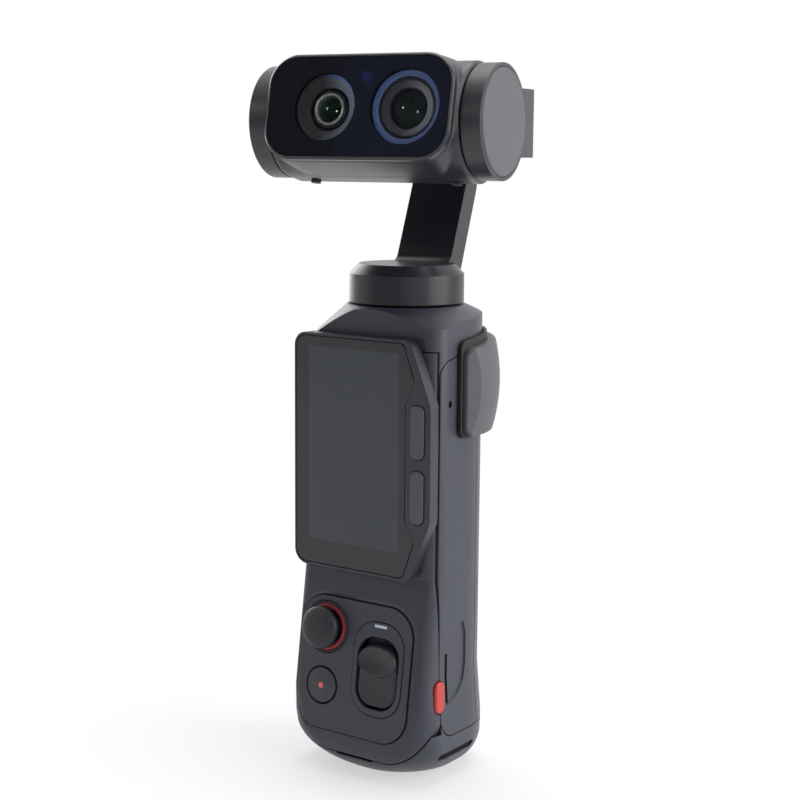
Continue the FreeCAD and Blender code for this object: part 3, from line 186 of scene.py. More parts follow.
def mix_colours(tree, share, first, second):
    """Colour between first and second, each a tuple or the output of another node."""
    made = tree.nodes.new("ShaderNodeMix")
    made.data_type = "RGBA"
    tree.links.new(share, made.inputs["Factor"])
    for socket, value in ((made.inputs[6], first), (made.inputs[7], second)):
        if isinstance(value, tuple):
            socket.default_value = (*value, 1.0)
        else:
            tree.links.new(value, socket)
    return made.outputs[2]


def shade(tone, factor):
    """A tone made darker or lighter."""
    return tuple(min(1.0, c * factor) for c in tone)


def soft_edges(tree, radius):
    """Rounded shading normal, and how near the surface is to a sharp edge."""
    bevel = tree.nodes.new("ShaderNodeBevel")
    bevel.samples = 6
    bevel.inputs["Radius"].default_value = radius * MM
    geometry = tree.nodes.new("ShaderNodeNewGeometry")
    dot = tree.nodes.new("ShaderNodeVectorMath")
    dot.operation = "DOT_PRODUCT"
    tree.links.new(bevel.outputs["Normal"], dot.inputs[0])
    tree.links.new(geometry.outputs["Normal"], dot.inputs[1])
    rubbed_and_highlit = remap(tree, dot.outputs["Value"], RUB_AND_HIGHLIGHT_START, RUB_AND_HIGHLIGHT_FULL, 0.0, 1.0)
    return bevel.outputs["Normal"], rubbed_and_highlit


def bump(tree, height, depth, normal=None):
    """Normal of a surface whose height varies by depth millimetres."""
    made = tree.nodes.new("ShaderNodeBump")
    made.inputs["Distance"].default_value = depth * MM
    made.inputs["Strength"].default_value = 1.0
    tree.links.new(height, made.inputs["Height"])
    if normal is not None:
        tree.links.new(normal, made.inputs["Normal"])
    return made.outputs["Normal"]


def moulded(name, tone, rough=0.5, mottle=0.07, grain=0.22, depth=0.006, edge=0.22, wear_and_highlight=1.5,
            gloss=0.5, metal=0.0):
    """Moulded or painted surface: a tone that drifts a little, grain, and edges made lighter as
    rubbing and painted highlight.
    """
    drift_size, drift_share = 16.0, 0.55
    rub_and_highlight_share = 0.45
    rough_swing = 0.05
    material, tree, shader, place = new_material(name)
    normal, rubbed_and_highlit = soft_edges(tree, edge)
    drift = noise(tree, place, drift_size, detail=3.0)
    fine = noise(tree, place, grain)
    blend = math_node(tree, "ADD", math_node(tree, "MULTIPLY", drift, drift_share),
                      math_node(tree, "MULTIPLY", fine, 1 - drift_share))
    base = mix_colours(tree, spread(tree, blend, 0.0, 1.0), shade(tone, 1 - mottle),
                       shade(tone, 1 + mottle))
    # Edges are made lighter: partly rubbing, partly a painted highlight.
    worn_and_highlit = math_node(tree, "MULTIPLY", rubbed_and_highlit, rub_and_highlight_share)
    colour = mix_colours(tree, worn_and_highlit, base, shade(tone, wear_and_highlight))
    roughness = spread(tree, blend, rough - rough_swing, rough + rough_swing)
    tree.links.new(colour, shader.inputs["Base Color"])
    tree.links.new(roughness, shader.inputs["Roughness"])
    tree.links.new(bump(tree, fine, depth, normal), shader.inputs["Normal"])
    shader.inputs["Specular IOR Level"].default_value = gloss
    shader.inputs["Metallic"].default_value = metal
    return material


def brushed(name, tone, rough=0.3, stretch=(1.0, 1.0, 24.0), size=0.9):
    """Turned or rolled metal with fine lines, and edges made lighter as rubbing and painted
    highlight.
    """
    edge, rub_and_highlight_share, wear_and_highlight = 0.12, 0.4, 1.35
    dark, light = 0.85, 1.1
    drift_size, line_depth = 6.0, 0.004
    material, tree, shader, place = new_material(name)
    normal, rubbed_and_highlit = soft_edges(tree, edge)
    lines = noise(tree, place, size, detail=4.0, stretch=stretch)
    drift = noise(tree, place, drift_size)
    base = mix_colours(tree, spread(tree, lines, 0.0, 1.0), shade(tone, dark), shade(tone, light))
    # Edges are made lighter: partly rubbing, partly a painted highlight.
    worn_and_highlit = math_node(tree, "MULTIPLY", rubbed_and_highlit, rub_and_highlight_share)
    colour = mix_colours(tree, worn_and_highlit, base, shade(tone, wear_and_highlight))
    tree.links.new(colour, shader.inputs["Base Color"])
    tree.links.new(spread(tree, drift, rough - 0.06, rough + 0.08), shader.inputs["Roughness"])
    tree.links.new(bump(tree, lines, line_depth, normal), shader.inputs["Normal"])
    shader.inputs["Metallic"].default_value = 1.0
    return material


def head_position(tree, place):
    """Coordinates in the head's own frame, in metres."""
    turn = tree.nodes.new("ShaderNodeMapping")
    turn.inputs["Rotation"].default_value = (0.0, 0.0, -PAN_REST)
    turn.inputs["Location"].default_value = -TILT_AXIS
    tree.links.new(place, turn.inputs["Vector"])
    tip = tree.nodes.new("ShaderNodeMapping")
    tip.inputs["Rotation"].default_value = (TILT_REST, 0.0, 0.0)
    tree.links.new(turn.outputs["Vector"], tip.inputs["Vector"])
    return tip.outputs["Vector"]


def axes(tree, vector):
    """The X, Y and Z outputs of a vector."""
    made = tree.nodes.new("ShaderNodeSeparateXYZ")
    tree.links.new(vector, made.inputs["Vector"])
    return made.outputs


def distance_from(tree, here, x, z=0.0):
    """Distance, in metres, across the head's front from the point (x, z) in millimetres."""
    flat = tree.nodes.new("ShaderNodeVectorMath")
    flat.operation = "MULTIPLY"
    flat.inputs[1].default_value = (1.0, 0.0, 1.0)
    tree.links.new(here, flat.inputs[0])
    made = tree.nodes.new("ShaderNodeVectorMath")
    made.operation = "DISTANCE"
    made.inputs[1].default_value = (x * MM, 0.0, z * MM)
    tree.links.new(flat.outputs["Vector"], made.inputs[0])
    return made.outputs["Value"]


def front_glass_with_painted_reflection():
    """Glass printed black behind and clear over the lenses, with a painted navy reflection on the
    long lens's side.
    """
    reflection_start, reflection_end = -5.2, -3.4
    window_alpha = 0.16
    tele_margin, print_edge = 1.2, 0.1
    sensor_x, sensor_z = 1.6, 6.2
    sensor_core, sensor_reach = 0.3, 1.9
    material, tree, shader, place = new_material("front_glass_with_painted_reflection")
    here = head_position(tree, place)
    across = axes(tree, here)["X"]
    # Painted reflection: the glass goes over from black to navy towards +X.
    painted_reflection_share = remap(tree, across, reflection_start * MM, reflection_end * MM, 0.0, 1.0, smooth=True)
    cloud = noise(tree, place, 9.0)
    navy_reflection = mix_colours(tree, cloud, (0.0110, 0.0125, 0.0220), (0.0140, 0.0155, 0.0270))
    colour = mix_colours(tree, painted_reflection_share, (0.0115, 0.0117, 0.0150), navy_reflection)
    main = remap(tree, distance_from(tree, here, MAIN_X),
                 (MAIN_WINDOW - print_edge) * MM, MAIN_WINDOW * MM, window_alpha, 1.0)
    tele_edge = TELE_WINDOW + tele_margin
    tele = remap(tree, distance_from(tree, here, TELE_X),
                 tele_edge * MM, (tele_edge + print_edge) * MM, window_alpha, 1.0)
    spot = distance_from(tree, here, sensor_x, sensor_z)
    violet = remap(tree, spot, sensor_core * MM, sensor_reach * MM, 1.0, 0.0, smooth=True)
    colour = mix_colours(tree, violet, colour, (0.026, 0.022, 0.085))
    tree.links.new(colour, shader.inputs["Base Color"])
    tree.links.new(math_node(tree, "MINIMUM", main, tele), shader.inputs["Alpha"])
    smears = noise(tree, place, 5.0)
    tree.links.new(spread(tree, smears, 0.03, 0.07), shader.inputs["Roughness"])
    shader.inputs["Specular IOR Level"].default_value = 0.12
    return material


def between(tree, value, limits, soft):
    """1 between two limits in millimetres and 0 outside them, with soft changes."""
    low, high = limits
    return math_node(tree, "MULTIPLY",
                     remap(tree, value, (low - soft) * MM, (low + soft) * MM, 0.0, 1.0),
                     remap(tree, value, (high - soft) * MM, (high + soft) * MM, 1.0, 0.0))


def screen_finish():
    """Cover glass over a display that is off: the lit area is a little lighter than its border."""
    soft, edge = 0.12, 0.15
    material, tree, shader, place = new_material("screen_finish")
    position = axes(tree, place)
    area = math_node(tree, "MULTIPLY", between(tree, position["X"], DISPLAY_X, soft),
                     between(tree, position["Z"], DISPLAY_Z, soft))
    cloud = noise(tree, place, 22.0)
    lit = mix_colours(tree, cloud, (0.030, 0.036, 0.042), (0.036, 0.041, 0.047))
    border = mix_colours(tree, cloud, (0.018, 0.018, 0.023), (0.021, 0.021, 0.026))
    tree.links.new(mix_colours(tree, area, border, lit), shader.inputs["Base Color"])
    smears = noise(tree, place, 7.0)
    tree.links.new(spread(tree, smears, 0.16, 0.24), shader.inputs["Roughness"])
    tree.links.new(soft_edges(tree, edge)[0], shader.inputs["Normal"])
    shader.inputs["Specular IOR Level"].default_value = 0.45
    return material


def lens_finish(name, tone, film, rough=0.03, gloss=0.5):
    """Coated lens glass, dark inside, with the thickness of its film in nanometres."""
    material, tree, shader, place = new_material(name)
    cloud = noise(tree, place, 2.6, detail=1.0)
    colour = mix_colours(tree, cloud, shade(tone, 0.5), shade(tone, 1.6))
    roughness = spread(tree, noise(tree, place, 3.0), rough * 0.7, rough * 1.6)
    tree.links.new(colour, shader.inputs["Base Color"])
    tree.links.new(roughness, shader.inputs["Roughness"])
    shader.inputs["Specular IOR Level"].default_value = gloss
    shader.inputs["Thin Film Thickness"].default_value = film
    shader.inputs["Thin Film IOR"].default_value = 1.38
    return material


def ribbed(name, tone, x_axis, pitch, rough=0.45, painted_light_tone=None, rim=None):
    """Blackened lens surface with turned rings about a lens axis.

    Towards +X it goes over to a lighter tone of painted light, and there, outside a radius, to a
    painted reflection; rim gives that radius and the reflection's tone.
    """
    painted_light_start, painted_light_full = -2.5, 5.5
    reflection_soft, ring_depth = 0.12, 0.012
    material, tree, shader, place = new_material(name)
    here = head_position(tree, place)
    radius = distance_from(tree, here, x_axis)
    rings = waves(tree, radius, pitch)
    cloud = noise(tree, place, 4.0)
    colour = mix_colours(tree, cloud, shade(tone, 0.85), shade(tone, 1.15))
    # Painted light: lighter towards +X, with a painted reflection outside the radius that rim
    # gives.
    if painted_light_tone is not None:
        if rim is not None:
            reflection_radius, reflection_tone = rim
            outside = remap(tree, radius, (reflection_radius - reflection_soft) * MM,
                            (reflection_radius + reflection_soft) * MM, 0.0, 1.0, smooth=True)
            painted_light_tone = mix_colours(tree, outside, painted_light_tone, reflection_tone)
        across = remap(tree, axes(tree, here)["X"], (x_axis + painted_light_start) * MM,
                       (x_axis + painted_light_full) * MM, 0.0, 1.0, smooth=True)
        colour = mix_colours(tree, across, colour, painted_light_tone)
    tree.links.new(colour, shader.inputs["Base Color"])
    tree.links.new(spread(tree, cloud, rough - 0.05, rough + 0.08), shader.inputs["Roughness"])
    tree.links.new(bump(tree, rings, ring_depth), shader.inputs["Normal"])
    shader.inputs["Specular IOR Level"].default_value = 0.35
    return material


def windings(name):
    """Copper wire wound in fine turns."""
    wire, turn_depth = 0.35, 0.05
    material, tree, shader, place = new_material(name)
    turns = waves(tree, axes(tree, place)["Z"], wire)
    colour = mix_colours(tree, remap(tree, turns, -1, 1, 0, 1), (0.03, 0.013, 0.007),
                         (0.07, 0.032, 0.018))
    tree.links.new(colour, shader.inputs["Base Color"])
    roughness = spread(tree, noise(tree, place, 1.0), 0.28, 0.4)
    tree.links.new(roughness, shader.inputs["Roughness"])
    tree.links.new(bump(tree, turns, turn_depth), shader.inputs["Normal"])
    shader.inputs["Metallic"].default_value = 0.9
    return material


def circuit_board(name):
    """Solder mask with copper runs under it."""
    track_size, track_depth = 7, 0.02
    material, tree, shader, place = new_material(name)
    tracks = tree.nodes.new("ShaderNodeTexBrick")
    tracks.inputs["Scale"].default_value = 1 / (track_size * MM)
    tracks.inputs["Color1"].default_value = (0.02, 0.12, 0.07, 1)
    tracks.inputs["Color2"].default_value = (0.025, 0.15, 0.085, 1)
    tracks.inputs["Mortar"].default_value = (0.09, 0.24, 0.11, 1)
    tree.links.new(place, tracks.inputs["Vector"])
    tree.links.new(tracks.outputs["Color"], shader.inputs["Base Color"])
    roughness = spread(tree, noise(tree, place, 2.0), 0.3, 0.45)
    tree.links.new(roughness, shader.inputs["Roughness"])
    tree.links.new(bump(tree, tracks.outputs["Fac"], track_depth), shader.inputs["Normal"])
    return material


def light_pipe(name):
    """Milky light pipe, unlit."""
    material, tree, shader, place = new_material(name)
    cloud = noise(tree, place, 0.8, detail=1.0)
    colour = mix_colours(tree, cloud, (0.50, 0.53, 0.66), (0.68, 0.70, 0.84))
    tree.links.new(colour, shader.inputs["Base Color"])
    tree.links.new(spread(tree, cloud, 0.25, 0.4), shader.inputs["Roughness"])
    return material


BLACK_RUBBER = (0.008, 0.008, 0.009)

# The finish of each material of the solids
FINISHES = {
    "body_plastic": moulded("body_finish", (0.028, 0.030, 0.044), rough=0.40, grain=0.2,
                            depth=0.004, edge=0.3),
    "screen_frame": moulded("screen_frame_finish", (0.019, 0.020, 0.027), rough=0.36, grain=0.25,
                            depth=0.002, edge=0.3),
    "frame_metal": moulded("frame_finish", (0.35, 0.36, 0.38), rough=0.4, metal=1.0, grain=0.5,
                           depth=0.02),
    "insert_brass": brushed("insert_finish", (0.55, 0.55, 0.56)),
    "screw_steel": brushed("screw_finish", (0.26, 0.26, 0.28), rough=0.35, stretch=(1.0, 1.0, 1.0),
                           size=0.3),
    "board_green": circuit_board("board_finish"),
    "cell_wrap": moulded("cell_finish", (0.10, 0.11, 0.14), rough=0.35, grain=1.2, depth=0.02),
    "shield_steel": brushed("shield_finish", (0.6, 0.6, 0.62), rough=0.28,
                            stretch=(1.0, 12.0, 1.0), size=0.8),
    "card_plastic": moulded("card_finish", BLACK_RUBBER),
    "contact_gold": brushed("contact_finish", (0.83, 0.62, 0.28), rough=0.25),
    "release_red": moulded("release_finish", (0.43, 0.024, 0.020), rough=0.36, mottle=0.05,
                           wear_and_highlight=1.25),
    "tub_plastic": moulded("tub_finish", (0.02, 0.02, 0.023), rough=0.6),
    "cover_glass": screen_finish(),
    "display": moulded("display_finish", (0.03, 0.033, 0.04), rough=0.2, grain=0.6, depth=0.001),
    "key_rubber": moulded("key_finish", (0.060, 0.062, 0.075), rough=0.42, depth=0.004,
                          grain=0.18, edge=0.35),
    "panel_plastic": moulded("panel_finish", (0.036, 0.038, 0.050), rough=0.46, depth=0.004,
                             grain=0.18),
    "light_white": light_pipe("light_finish"),
    "rocker_plastic": moulded("rocker_finish", (0.017, 0.018, 0.023), rough=0.42, grain=0.25,
                              edge=0.35),
    "record_plastic": moulded("record_finish", (0.036, 0.038, 0.047), rough=0.42, depth=0.003),
    "stick_ring_red": moulded("stick_ring_finish", (0.25, 0.012, 0.011), rough=0.40, mottle=0.05,
                              wear_and_highlight=1.2),
    "stick_rubber": moulded("stick_finish", (0.008, 0.009, 0.013), rough=0.48, grain=0.16,
                            depth=0.008),
    "stick_cross_steel": brushed("stick_cross_finish", (0.5, 0.5, 0.52)),
    "clip_plastic": moulded("clip_finish", (0.066, 0.065, 0.074), mottle=0.12, grain=0.3,
                            depth=0.012, edge=0.5),
    "clip_rubber": moulded("clip_liner_finish", BLACK_RUBBER, rough=0.65, grain=0.3, depth=0.02),
    "gimbal_metal": moulded("gimbal_finish", (0.009, 0.010, 0.014), rough=0.33, grain=0.14,
                            depth=0.002, gloss=0.4),
    "cap_metal": moulded("cap_finish", (0.072, 0.073, 0.084), rough=0.42, grain=0.12,
                         depth=0.003, wear_and_highlight=1.8),
    "shaft_steel": brushed("shaft_finish", (0.6, 0.6, 0.62), rough=0.2),
    "magnet_grey": brushed("magnet_finish", (0.05, 0.05, 0.055), rough=0.4),
    "winding_copper": windings("winding_finish"),
    "head_metal": moulded("head_finish", (0.017, 0.018, 0.023), rough=0.34, grain=0.14,
                          depth=0.003, edge=1.7, wear_and_highlight=1.0),
    # Its edges are painted much lighter: painted highlight as well as rubbing.
    "bezel_metal": moulded("bezel_finish", (0.016, 0.017, 0.022), rough=0.28, grain=0.2,
                           depth=0.001, wear_and_highlight=6.0),
    "lens_cover_glass": front_glass_with_painted_reflection(),
    "lens_black": ribbed("lens_black_finish", (0.012, 0.012, 0.014), MAIN_X, pitch=0.5),
    "lens_ring_blue": moulded("blue_ring_finish", (0.13, 0.22, 0.50), rough=0.35, grain=0.4,
                              depth=0.002),
    "lens_element": lens_finish("lens_glass_finish", (0.010, 0.024, 0.012), film=420.0),
    "sensor_violet": lens_finish("focus_sensor_finish", (0.05, 0.02, 0.16), film=300.0),
    "bumper_rubber": moulded("bumper_finish", BLACK_RUBBER, rough=0.6),
}

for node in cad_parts.values():
    for place in node.material_slots:
        place.material = FINISHES[place.material.name]
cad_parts["yoke_frame"].material_slots[0].material = moulded(
    "yoke_finish", (0.024, 0.025, 0.030), rough=0.36, grain=0.14, depth=0.003, wear_and_highlight=1.2)
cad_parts["tele_lens_element"].material_slots[0].material = lens_finish(
    "tele_glass_finish", (0.028, 0.035, 0.029), film=0.0, rough=0.06, gloss=0.12)


def new_object(name, data):
    """An object in the scene."""
    made = bpy.data.objects.new(name, data)
    bpy.context.scene.collection.objects.link(made)
    return made


def add_piece(name, mesh, place, body, slot, finish=None):
    """Puts a mesh, drawn in millimetres in its own frame, on its body."""
    mesh.transform(Matrix.Scale(MM, 4))
    mesh.transform(place)
    mesh.materials.append(finish or FINISHES[slot])
    piece = new_object(name, mesh)
    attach(piece, body)
    return piece


def mesh_data(mesh, name):
    """Mesh data from a bmesh, which is freed."""
    made = bpy.data.meshes.new(name)
    mesh.to_mesh(made)
    mesh.free()
    return made


def close_mesh(mesh, name, sharp=40.0):
    """Mesh data with outward normals, smooth up to an edge angle in degrees."""
    bmesh.ops.recalc_face_normals(mesh, faces=mesh.faces)
    made = mesh_data(mesh, name)
    made.shade_smooth()
    made.set_sharp_from_angle(angle=math.radians(sharp))
    return made


def skin(mesh, rows):
    """Faces between closed rows of the same number of points."""
    for row, after in zip(rows, rows[1:]):
        for k in range(len(row)):
            n = (k + 1) % len(row)
            mesh.faces.new((row[k], row[n], after[n], after[k]))


def circle(steps):
    """Cosine and sine of evenly spaced angles."""
    turns = [2 * math.pi * k / steps for k in range(steps)]
    return [(math.cos(turn), math.sin(turn)) for turn in turns]


def lathe(name, profile, centre=(0.0, 0.0), steps=96, sharp=35.0):
    """Closed ring turned from (radius, y) points about a line along Y through centre (x, z)."""
    mesh = bmesh.new()
    rows = [[mesh.verts.new((centre[0] + r * c, y, centre[1] + r * s)) for r, y in profile]
            for c, s in circle(steps)]
    skin(mesh, rows + rows[:1])
    bmesh.ops.remove_doubles(mesh, verts=mesh.verts, dist=1e-5)
    return close_mesh(mesh, name, sharp)


def arc_points(centre, radius, start, end, count):
    """Points along an arc, with its angles in degrees."""
    points = []
    for k in range(count + 1):
        turn = math.radians(start + (end - start) * k / count)
        points.append((centre[0] + radius * math.cos(turn), centre[1] + radius * math.sin(turn)))
    return points


def add_main_lens():
    """Stepped recess of the main lens, and the metal collar at the front of its barrel."""
    steps = 7
    step_out, step_up = 0.12, 0.16
    glass_gap = 0.05
    skirt, slope, throat = 1.0, 1.5, 4.65
    mouth, mouth_depth = MAIN_WINDOW - 0.25, 0.25
    floor_radius, floor_rise = throat - 0.1, 1.3
    cone = [(MAIN_WINDOW, GLASS_BACK + glass_gap), (MAIN_WINDOW, GLASS_BACK + skirt)]
    for k in range(1, steps + 1):
        share = k / steps
        cone.append((MAIN_WINDOW + (throat - MAIN_WINDOW) * share,
                     GLASS_BACK + skirt + slope * share))
    for k in range(steps, 0, -1):
        share = k / steps
        r = mouth + (floor_radius - mouth) * share
        y = GLASS_BACK + mouth_depth + floor_rise * share
        cone += [(r, y), (r + step_out, y - step_up)]
    cone.append((MAIN_WINDOW - 0.2, GLASS_BACK + glass_gap))
    mesh = lathe("main_lens_recess", cone, (MAIN_X, 0.0), sharp=50)
    # The recess is painted lighter towards +X and blue near its mouth: painted light and a painted
    # reflection.
    finish = ribbed("recess_with_painted_light_and_reflection", (0.026, 0.026, 0.030), MAIN_X, pitch=0.6, rough=0.5,
                    painted_light_tone=(0.30, 0.34, 0.42), rim=(MAIN_WINDOW - 0.75, (0.20, 0.33, 0.72)))
    piece = add_piece("main_lens_recess", mesh, HEAD, "camera_head", "lens_black", finish)
    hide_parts("main_lens_cone")

    front = GLASS_BACK + skirt
    back = front + 1.9
    bore, outer = 2.75, 4.15
    lip, lip_radius = (3.2, front + 0.3), 0.34
    collar = [(bore, front + 1.1), (bore + 0.1, front + 0.35)]
    collar += arc_points(lip, lip_radius, 180, 350, 10)
    collar += [(3.55, front + 1.0), (3.85, front + 1.05), (3.9, front + 0.85)]
    collar += [(4.1, front + 0.85), (outer, front + 1.1), (outer, back), (bore, back)]
    mesh = lathe("main_lens_collar", collar, (MAIN_X, 0.0))
    finish = moulded("collar_finish", (0.42, 0.42, 0.44), rough=0.25, grain=0.4, depth=0.001,
                     metal=0.6)
    add_piece("main_lens_collar", mesh, HEAD, "camera_head", "lens_black", finish)


def add_tele_lens():
    """Grey turned ring of the long lens, inside its blue ring."""
    front = GLASS_BACK + 0.3
    back = front + 1.6
    bore, outer = 4.3, 5.95
    lip, lip_radius = (4.75, front + 0.7), 0.4
    ring = [(bore, back), (bore + 0.05, front + 0.7)] + arc_points(lip, lip_radius, 180, 260, 6)
    ring += [(5.65, front + 0.05), (5.85, front + 0.12), (outer, front + 0.3), (outer, back)]
    mesh = lathe("tele_lens_face", ring, (TELE_X, 0.0))
    # The ring is painted lighter towards +X: painted light.
    finish = ribbed("tele_face_with_painted_light", (0.055, 0.056, 0.062), TELE_X, pitch=0.55,
                    painted_light_tone=(0.30, 0.31, 0.34))
    add_piece("tele_lens_face", mesh, HEAD, "camera_head", "lens_black", finish)


def add_joystick():
    """Domed thumb cap with a soft shoulder, on its stem."""
    top, low, wide = -3.8, -1.7, 4.85
    roll, hollow, under = 0.45, 0.25, 3.2
    stem, stem_end = 1.3, STICK_PIVOT + 0.6
    side_power, top_power = 0.62, 0.80
    steps = 26
    shoulder = low - roll
    cap = []
    for k in range(steps + 1):
        turn = math.pi / 2 * k / steps
        r = wide * math.sin(turn) ** side_power
        y = shoulder + (top - shoulder) * max(math.cos(turn), 0.0) ** top_power
        cap.append((max(r, ON_AXIS), y))
    cap += arc_points((wide - roll, shoulder), roll, 15, 90, 5)
    cap += [(under, low), (under - 0.2, low - hollow), (stem, low - hollow)]
    cap += [(stem, stem_end), (ON_AXIS, stem_end)]
    mesh = lathe("joystick_thumb_cap", cap, STICK, sharp=60)
    piece = add_piece("joystick_thumb_cap", mesh, PANEL, "joystick", "stick_rubber")
    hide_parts("joystick_cap")


def add_joystick_ring():
    """Red ring round the joystick in a seat of the panel's colour, its well and the boot."""
    base = 1.0
    ring_radius, ring_roll, ring_depth = 4.85, 0.5, 0.15
    ring = [(ring_radius - ring_roll, base)]
    ring += arc_points((ring_radius, ring_depth), ring_roll, 180, 360, 12)
    ring += [(ring_radius + ring_roll, base)]
    mesh = lathe("joystick_ring", ring, STICK)
    piece = add_piece("joystick_ring", mesh, PANEL, "front_unit", "stick_ring_red")

    seat_in, seat_out, seat_top, seat_edge = 5.45, 5.78, -0.12, -0.02
    seat = [(seat_in, base), (seat_in, seat_edge), (5.55, seat_top), (5.70, seat_top)]
    seat += [(seat_out, seat_edge), (seat_out, base)]
    mesh = lathe("joystick_seat", seat, STICK)
    add_piece("joystick_seat", mesh, PANEL, "front_unit", "panel_plastic")

    well_in, well_wall, well_out = 3.75, 4.25, 5.79
    well_top, ledge, well_floor = 0.95, 1.25, 3.9
    well = [(well_in, well_top), (well_out, well_top), (well_out, ledge), (well_wall, ledge)]
    well += [(well_wall, well_floor), (well_in, well_floor)]
    mesh = lathe("joystick_well", well, STICK)
    add_piece("joystick_well", mesh, PANEL, "front_unit", "stick_rubber")
    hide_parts("joystick_base")

    boot_radius, boot_neck, boot_foot = 3.6, 1.25, (3.0, 1.3)
    boot = arc_points((0.0, STICK_PIVOT), boot_radius, -22, -68, 14)
    boot = [(max(r, ON_AXIS), y) for r, y in boot]
    boot += [(boot_neck, -0.55), (boot_neck, 0.0), boot_foot]
    mesh = lathe("joystick_boot", boot, STICK)
    add_piece("joystick_boot", mesh, PANEL, "joystick", "stick_rubber")


def add_record_button():
    """Record button with an open gap round it, a soft edge and a red dot in the middle."""
    wide, roll, back = 3.95, 0.3, 1.9
    crown_centre, crown_radius = (0.0, 39.6), 39.96
    button = [(ON_AXIS, crown_centre[1] - crown_radius)]
    button += arc_points(crown_centre, crown_radius, -90, -84.8, 4)
    button += arc_points((wide - roll, 0.02), roll, -80, 0, 5)
    button += [(wide, 1.25), (4.75, 1.3), (4.8, back), (ON_AXIS, back)]
    mesh = lathe("record_button_cap", button, RECORD)
    piece = add_piece("record_button_cap", mesh, PANEL, "record_key", "record_plastic")
    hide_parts("record_button")

    dot_radius, dot_top, dot_back = 0.68, -0.47, -0.2
    dot_centre, dot_crown = (0.0, 2.2), 2.66
    dot = [(ON_AXIS, dot_top)] + arc_points(dot_centre, dot_crown, -90, -76, 5)
    dot += [(dot_radius, dot_back), (ON_AXIS, dot_back)]
    mesh = lathe("record_dot", dot, RECORD, steps=48)
    finish = moulded("record_dot_finish", (0.85, 0.13, 0.11), rough=0.35, grain=0.15, depth=0.002)
    add_piece("record_dot", mesh, PANEL, "record_key", "release_red", finish)


def rounded_outline(centre, size, radius, per_corner=12, per_side=10):
    """Points round a rectangle with round corners, also along its sides."""
    points = []
    half_x, half_z = size[0] / 2, size[1] / 2
    for sign_x, sign_z, start in ((1, 1, 0), (-1, 1, 90), (-1, -1, 180), (1, -1, 270)):
        middle = (centre[0] + sign_x * (half_x - radius), centre[1] + sign_z * (half_z - radius))
        points += arc_points(middle, radius, start, start + 90, per_corner)
    corner_step = math.pi / 2 * radius / per_corner
    filled = []
    for point, after in zip(points, points[1:] + points[:1]):
        parts = per_side if math.dist(point, after) > 1.5 * corner_step else 1
        for i in range(parts):
            filled.append(tuple(a + (b - a) * i / parts for a, b in zip(point, after)))
    return filled


def moulded_pad(name, outline, height, back, rings=44, sharp=50.0):
    """Solid with a flat back, whose front, along -Y, follows height(x, z) inside an outline."""
    crowding = 1.15
    mesh = bmesh.new()
    middle = [sum(p[i] for p in outline) / len(outline) for i in (0, 1)]
    rows = [[mesh.verts.new((x, back, z)) for x, z in outline]]
    for k in range(rings):
        share = 1 - (k / rings) ** crowding
        row = []
        for x, z in outline:
            at = (middle[0] + (x - middle[0]) * share, middle[1] + (z - middle[1]) * share)
            row.append(mesh.verts.new((at[0], height(*at), at[1])))
        rows.append(row)
    skin(mesh, rows)
    tip = mesh.verts.new((middle[0], height(*middle), middle[1]))
    for k in range(len(outline)):
        mesh.faces.new((rows[-1][k], rows[-1][(k + 1) % len(outline)], tip))
    mesh.faces.new(rows[0])
    return close_mesh(mesh, name, sharp)


def smooth_step(value, low, high):
    """0 at low, 1 at high and smooth between them."""
    share = min(1.0, max(0.0, (value - low) / (high - low)))
    return share * share * (3 - 2 * share)


def add_rocker():
    """Zoom rocker: a dished oval thumb pad with a thin rim above a lower block, and its pins."""
    size, radius, back = (10.5, 14.0), 3.9, 2.6
    face = 0.05
    pad_z, pad_half, pad_top = 10.75, (4.95, 3.35), -0.90
    pad_start, pad_end = 0.985, 1.10
    dish_depth, dish_reach = 0.45, 0.93
    rim_height, rim_place, rim_half = 0.10, 0.95, 0.04
    sink_z, sink_half, sink_depth = 3.9, (5.2, 3.8), 0.18
    edge_width, edge_depth, edge_power = 0.7, 0.55, 2.2

    def edge_distance(x, z):
        corner_x = max(abs(x - ROCKER[0]) - size[0] / 2 + radius, 0.0)
        corner_z = max(abs(z - ROCKER[1]) - size[1] / 2 + radius, 0.0)
        if corner_x > 0 or corner_z > 0:
            return radius - math.hypot(corner_x, corner_z)
        return radius

    def oval(x, z, middle_z, half):
        return math.hypot((x - ROCKER[0]) / half[0], (z - middle_z) / half[1])

    def height(x, z):
        pad = oval(x, z, pad_z, pad_half)
        low = face + sink_depth * (1 - min(1.0, oval(x, z, sink_z, sink_half)) ** 2)
        dish = dish_depth * (1 - min(1.0, pad / dish_reach) ** 2)
        rim = rim_height * max(0.0, 1 - abs(pad - rim_place) / rim_half)
        raised = pad_top + dish - rim
        y = raised + (low - raised) * smooth_step(pad, pad_start, pad_end)
        round_off = max(0.0, 1 - edge_distance(x, z) / edge_width)
        return y + edge_depth * round_off ** edge_power

    outline = rounded_outline(ROCKER, size, radius)
    mesh = moulded_pad("rocker_pad", outline, height, back)
    piece = add_piece("rocker_pad", mesh, PANEL, "zoom_key", "rocker_plastic")
    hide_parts("zoom_rocker")

    pin_out, pin_depth, pin_z = 5.15, 2.3, 8.0
    pin_radius, pin_start, pin_end, chamfer = 0.6, -0.4, 0.75, 0.1
    profile = [(ON_AXIS, pin_start), (pin_radius - chamfer, pin_start),
               (pin_radius, pin_start + chamfer), (pin_radius, pin_end), (ON_AXIS, pin_end)]
    for side, label in SIDES:
        pin = lathe(f"rocker_pin_{label}", profile, steps=32)
        pin.transform(Matrix.Translation((ROCKER[0] + side * pin_out, pin_depth, pin_z))
                      @ Matrix.Rotation(-side * math.pi / 2, 4, "Z"))
        add_piece(pin.name, pin, PANEL, "zoom_key", "rocker_plastic")


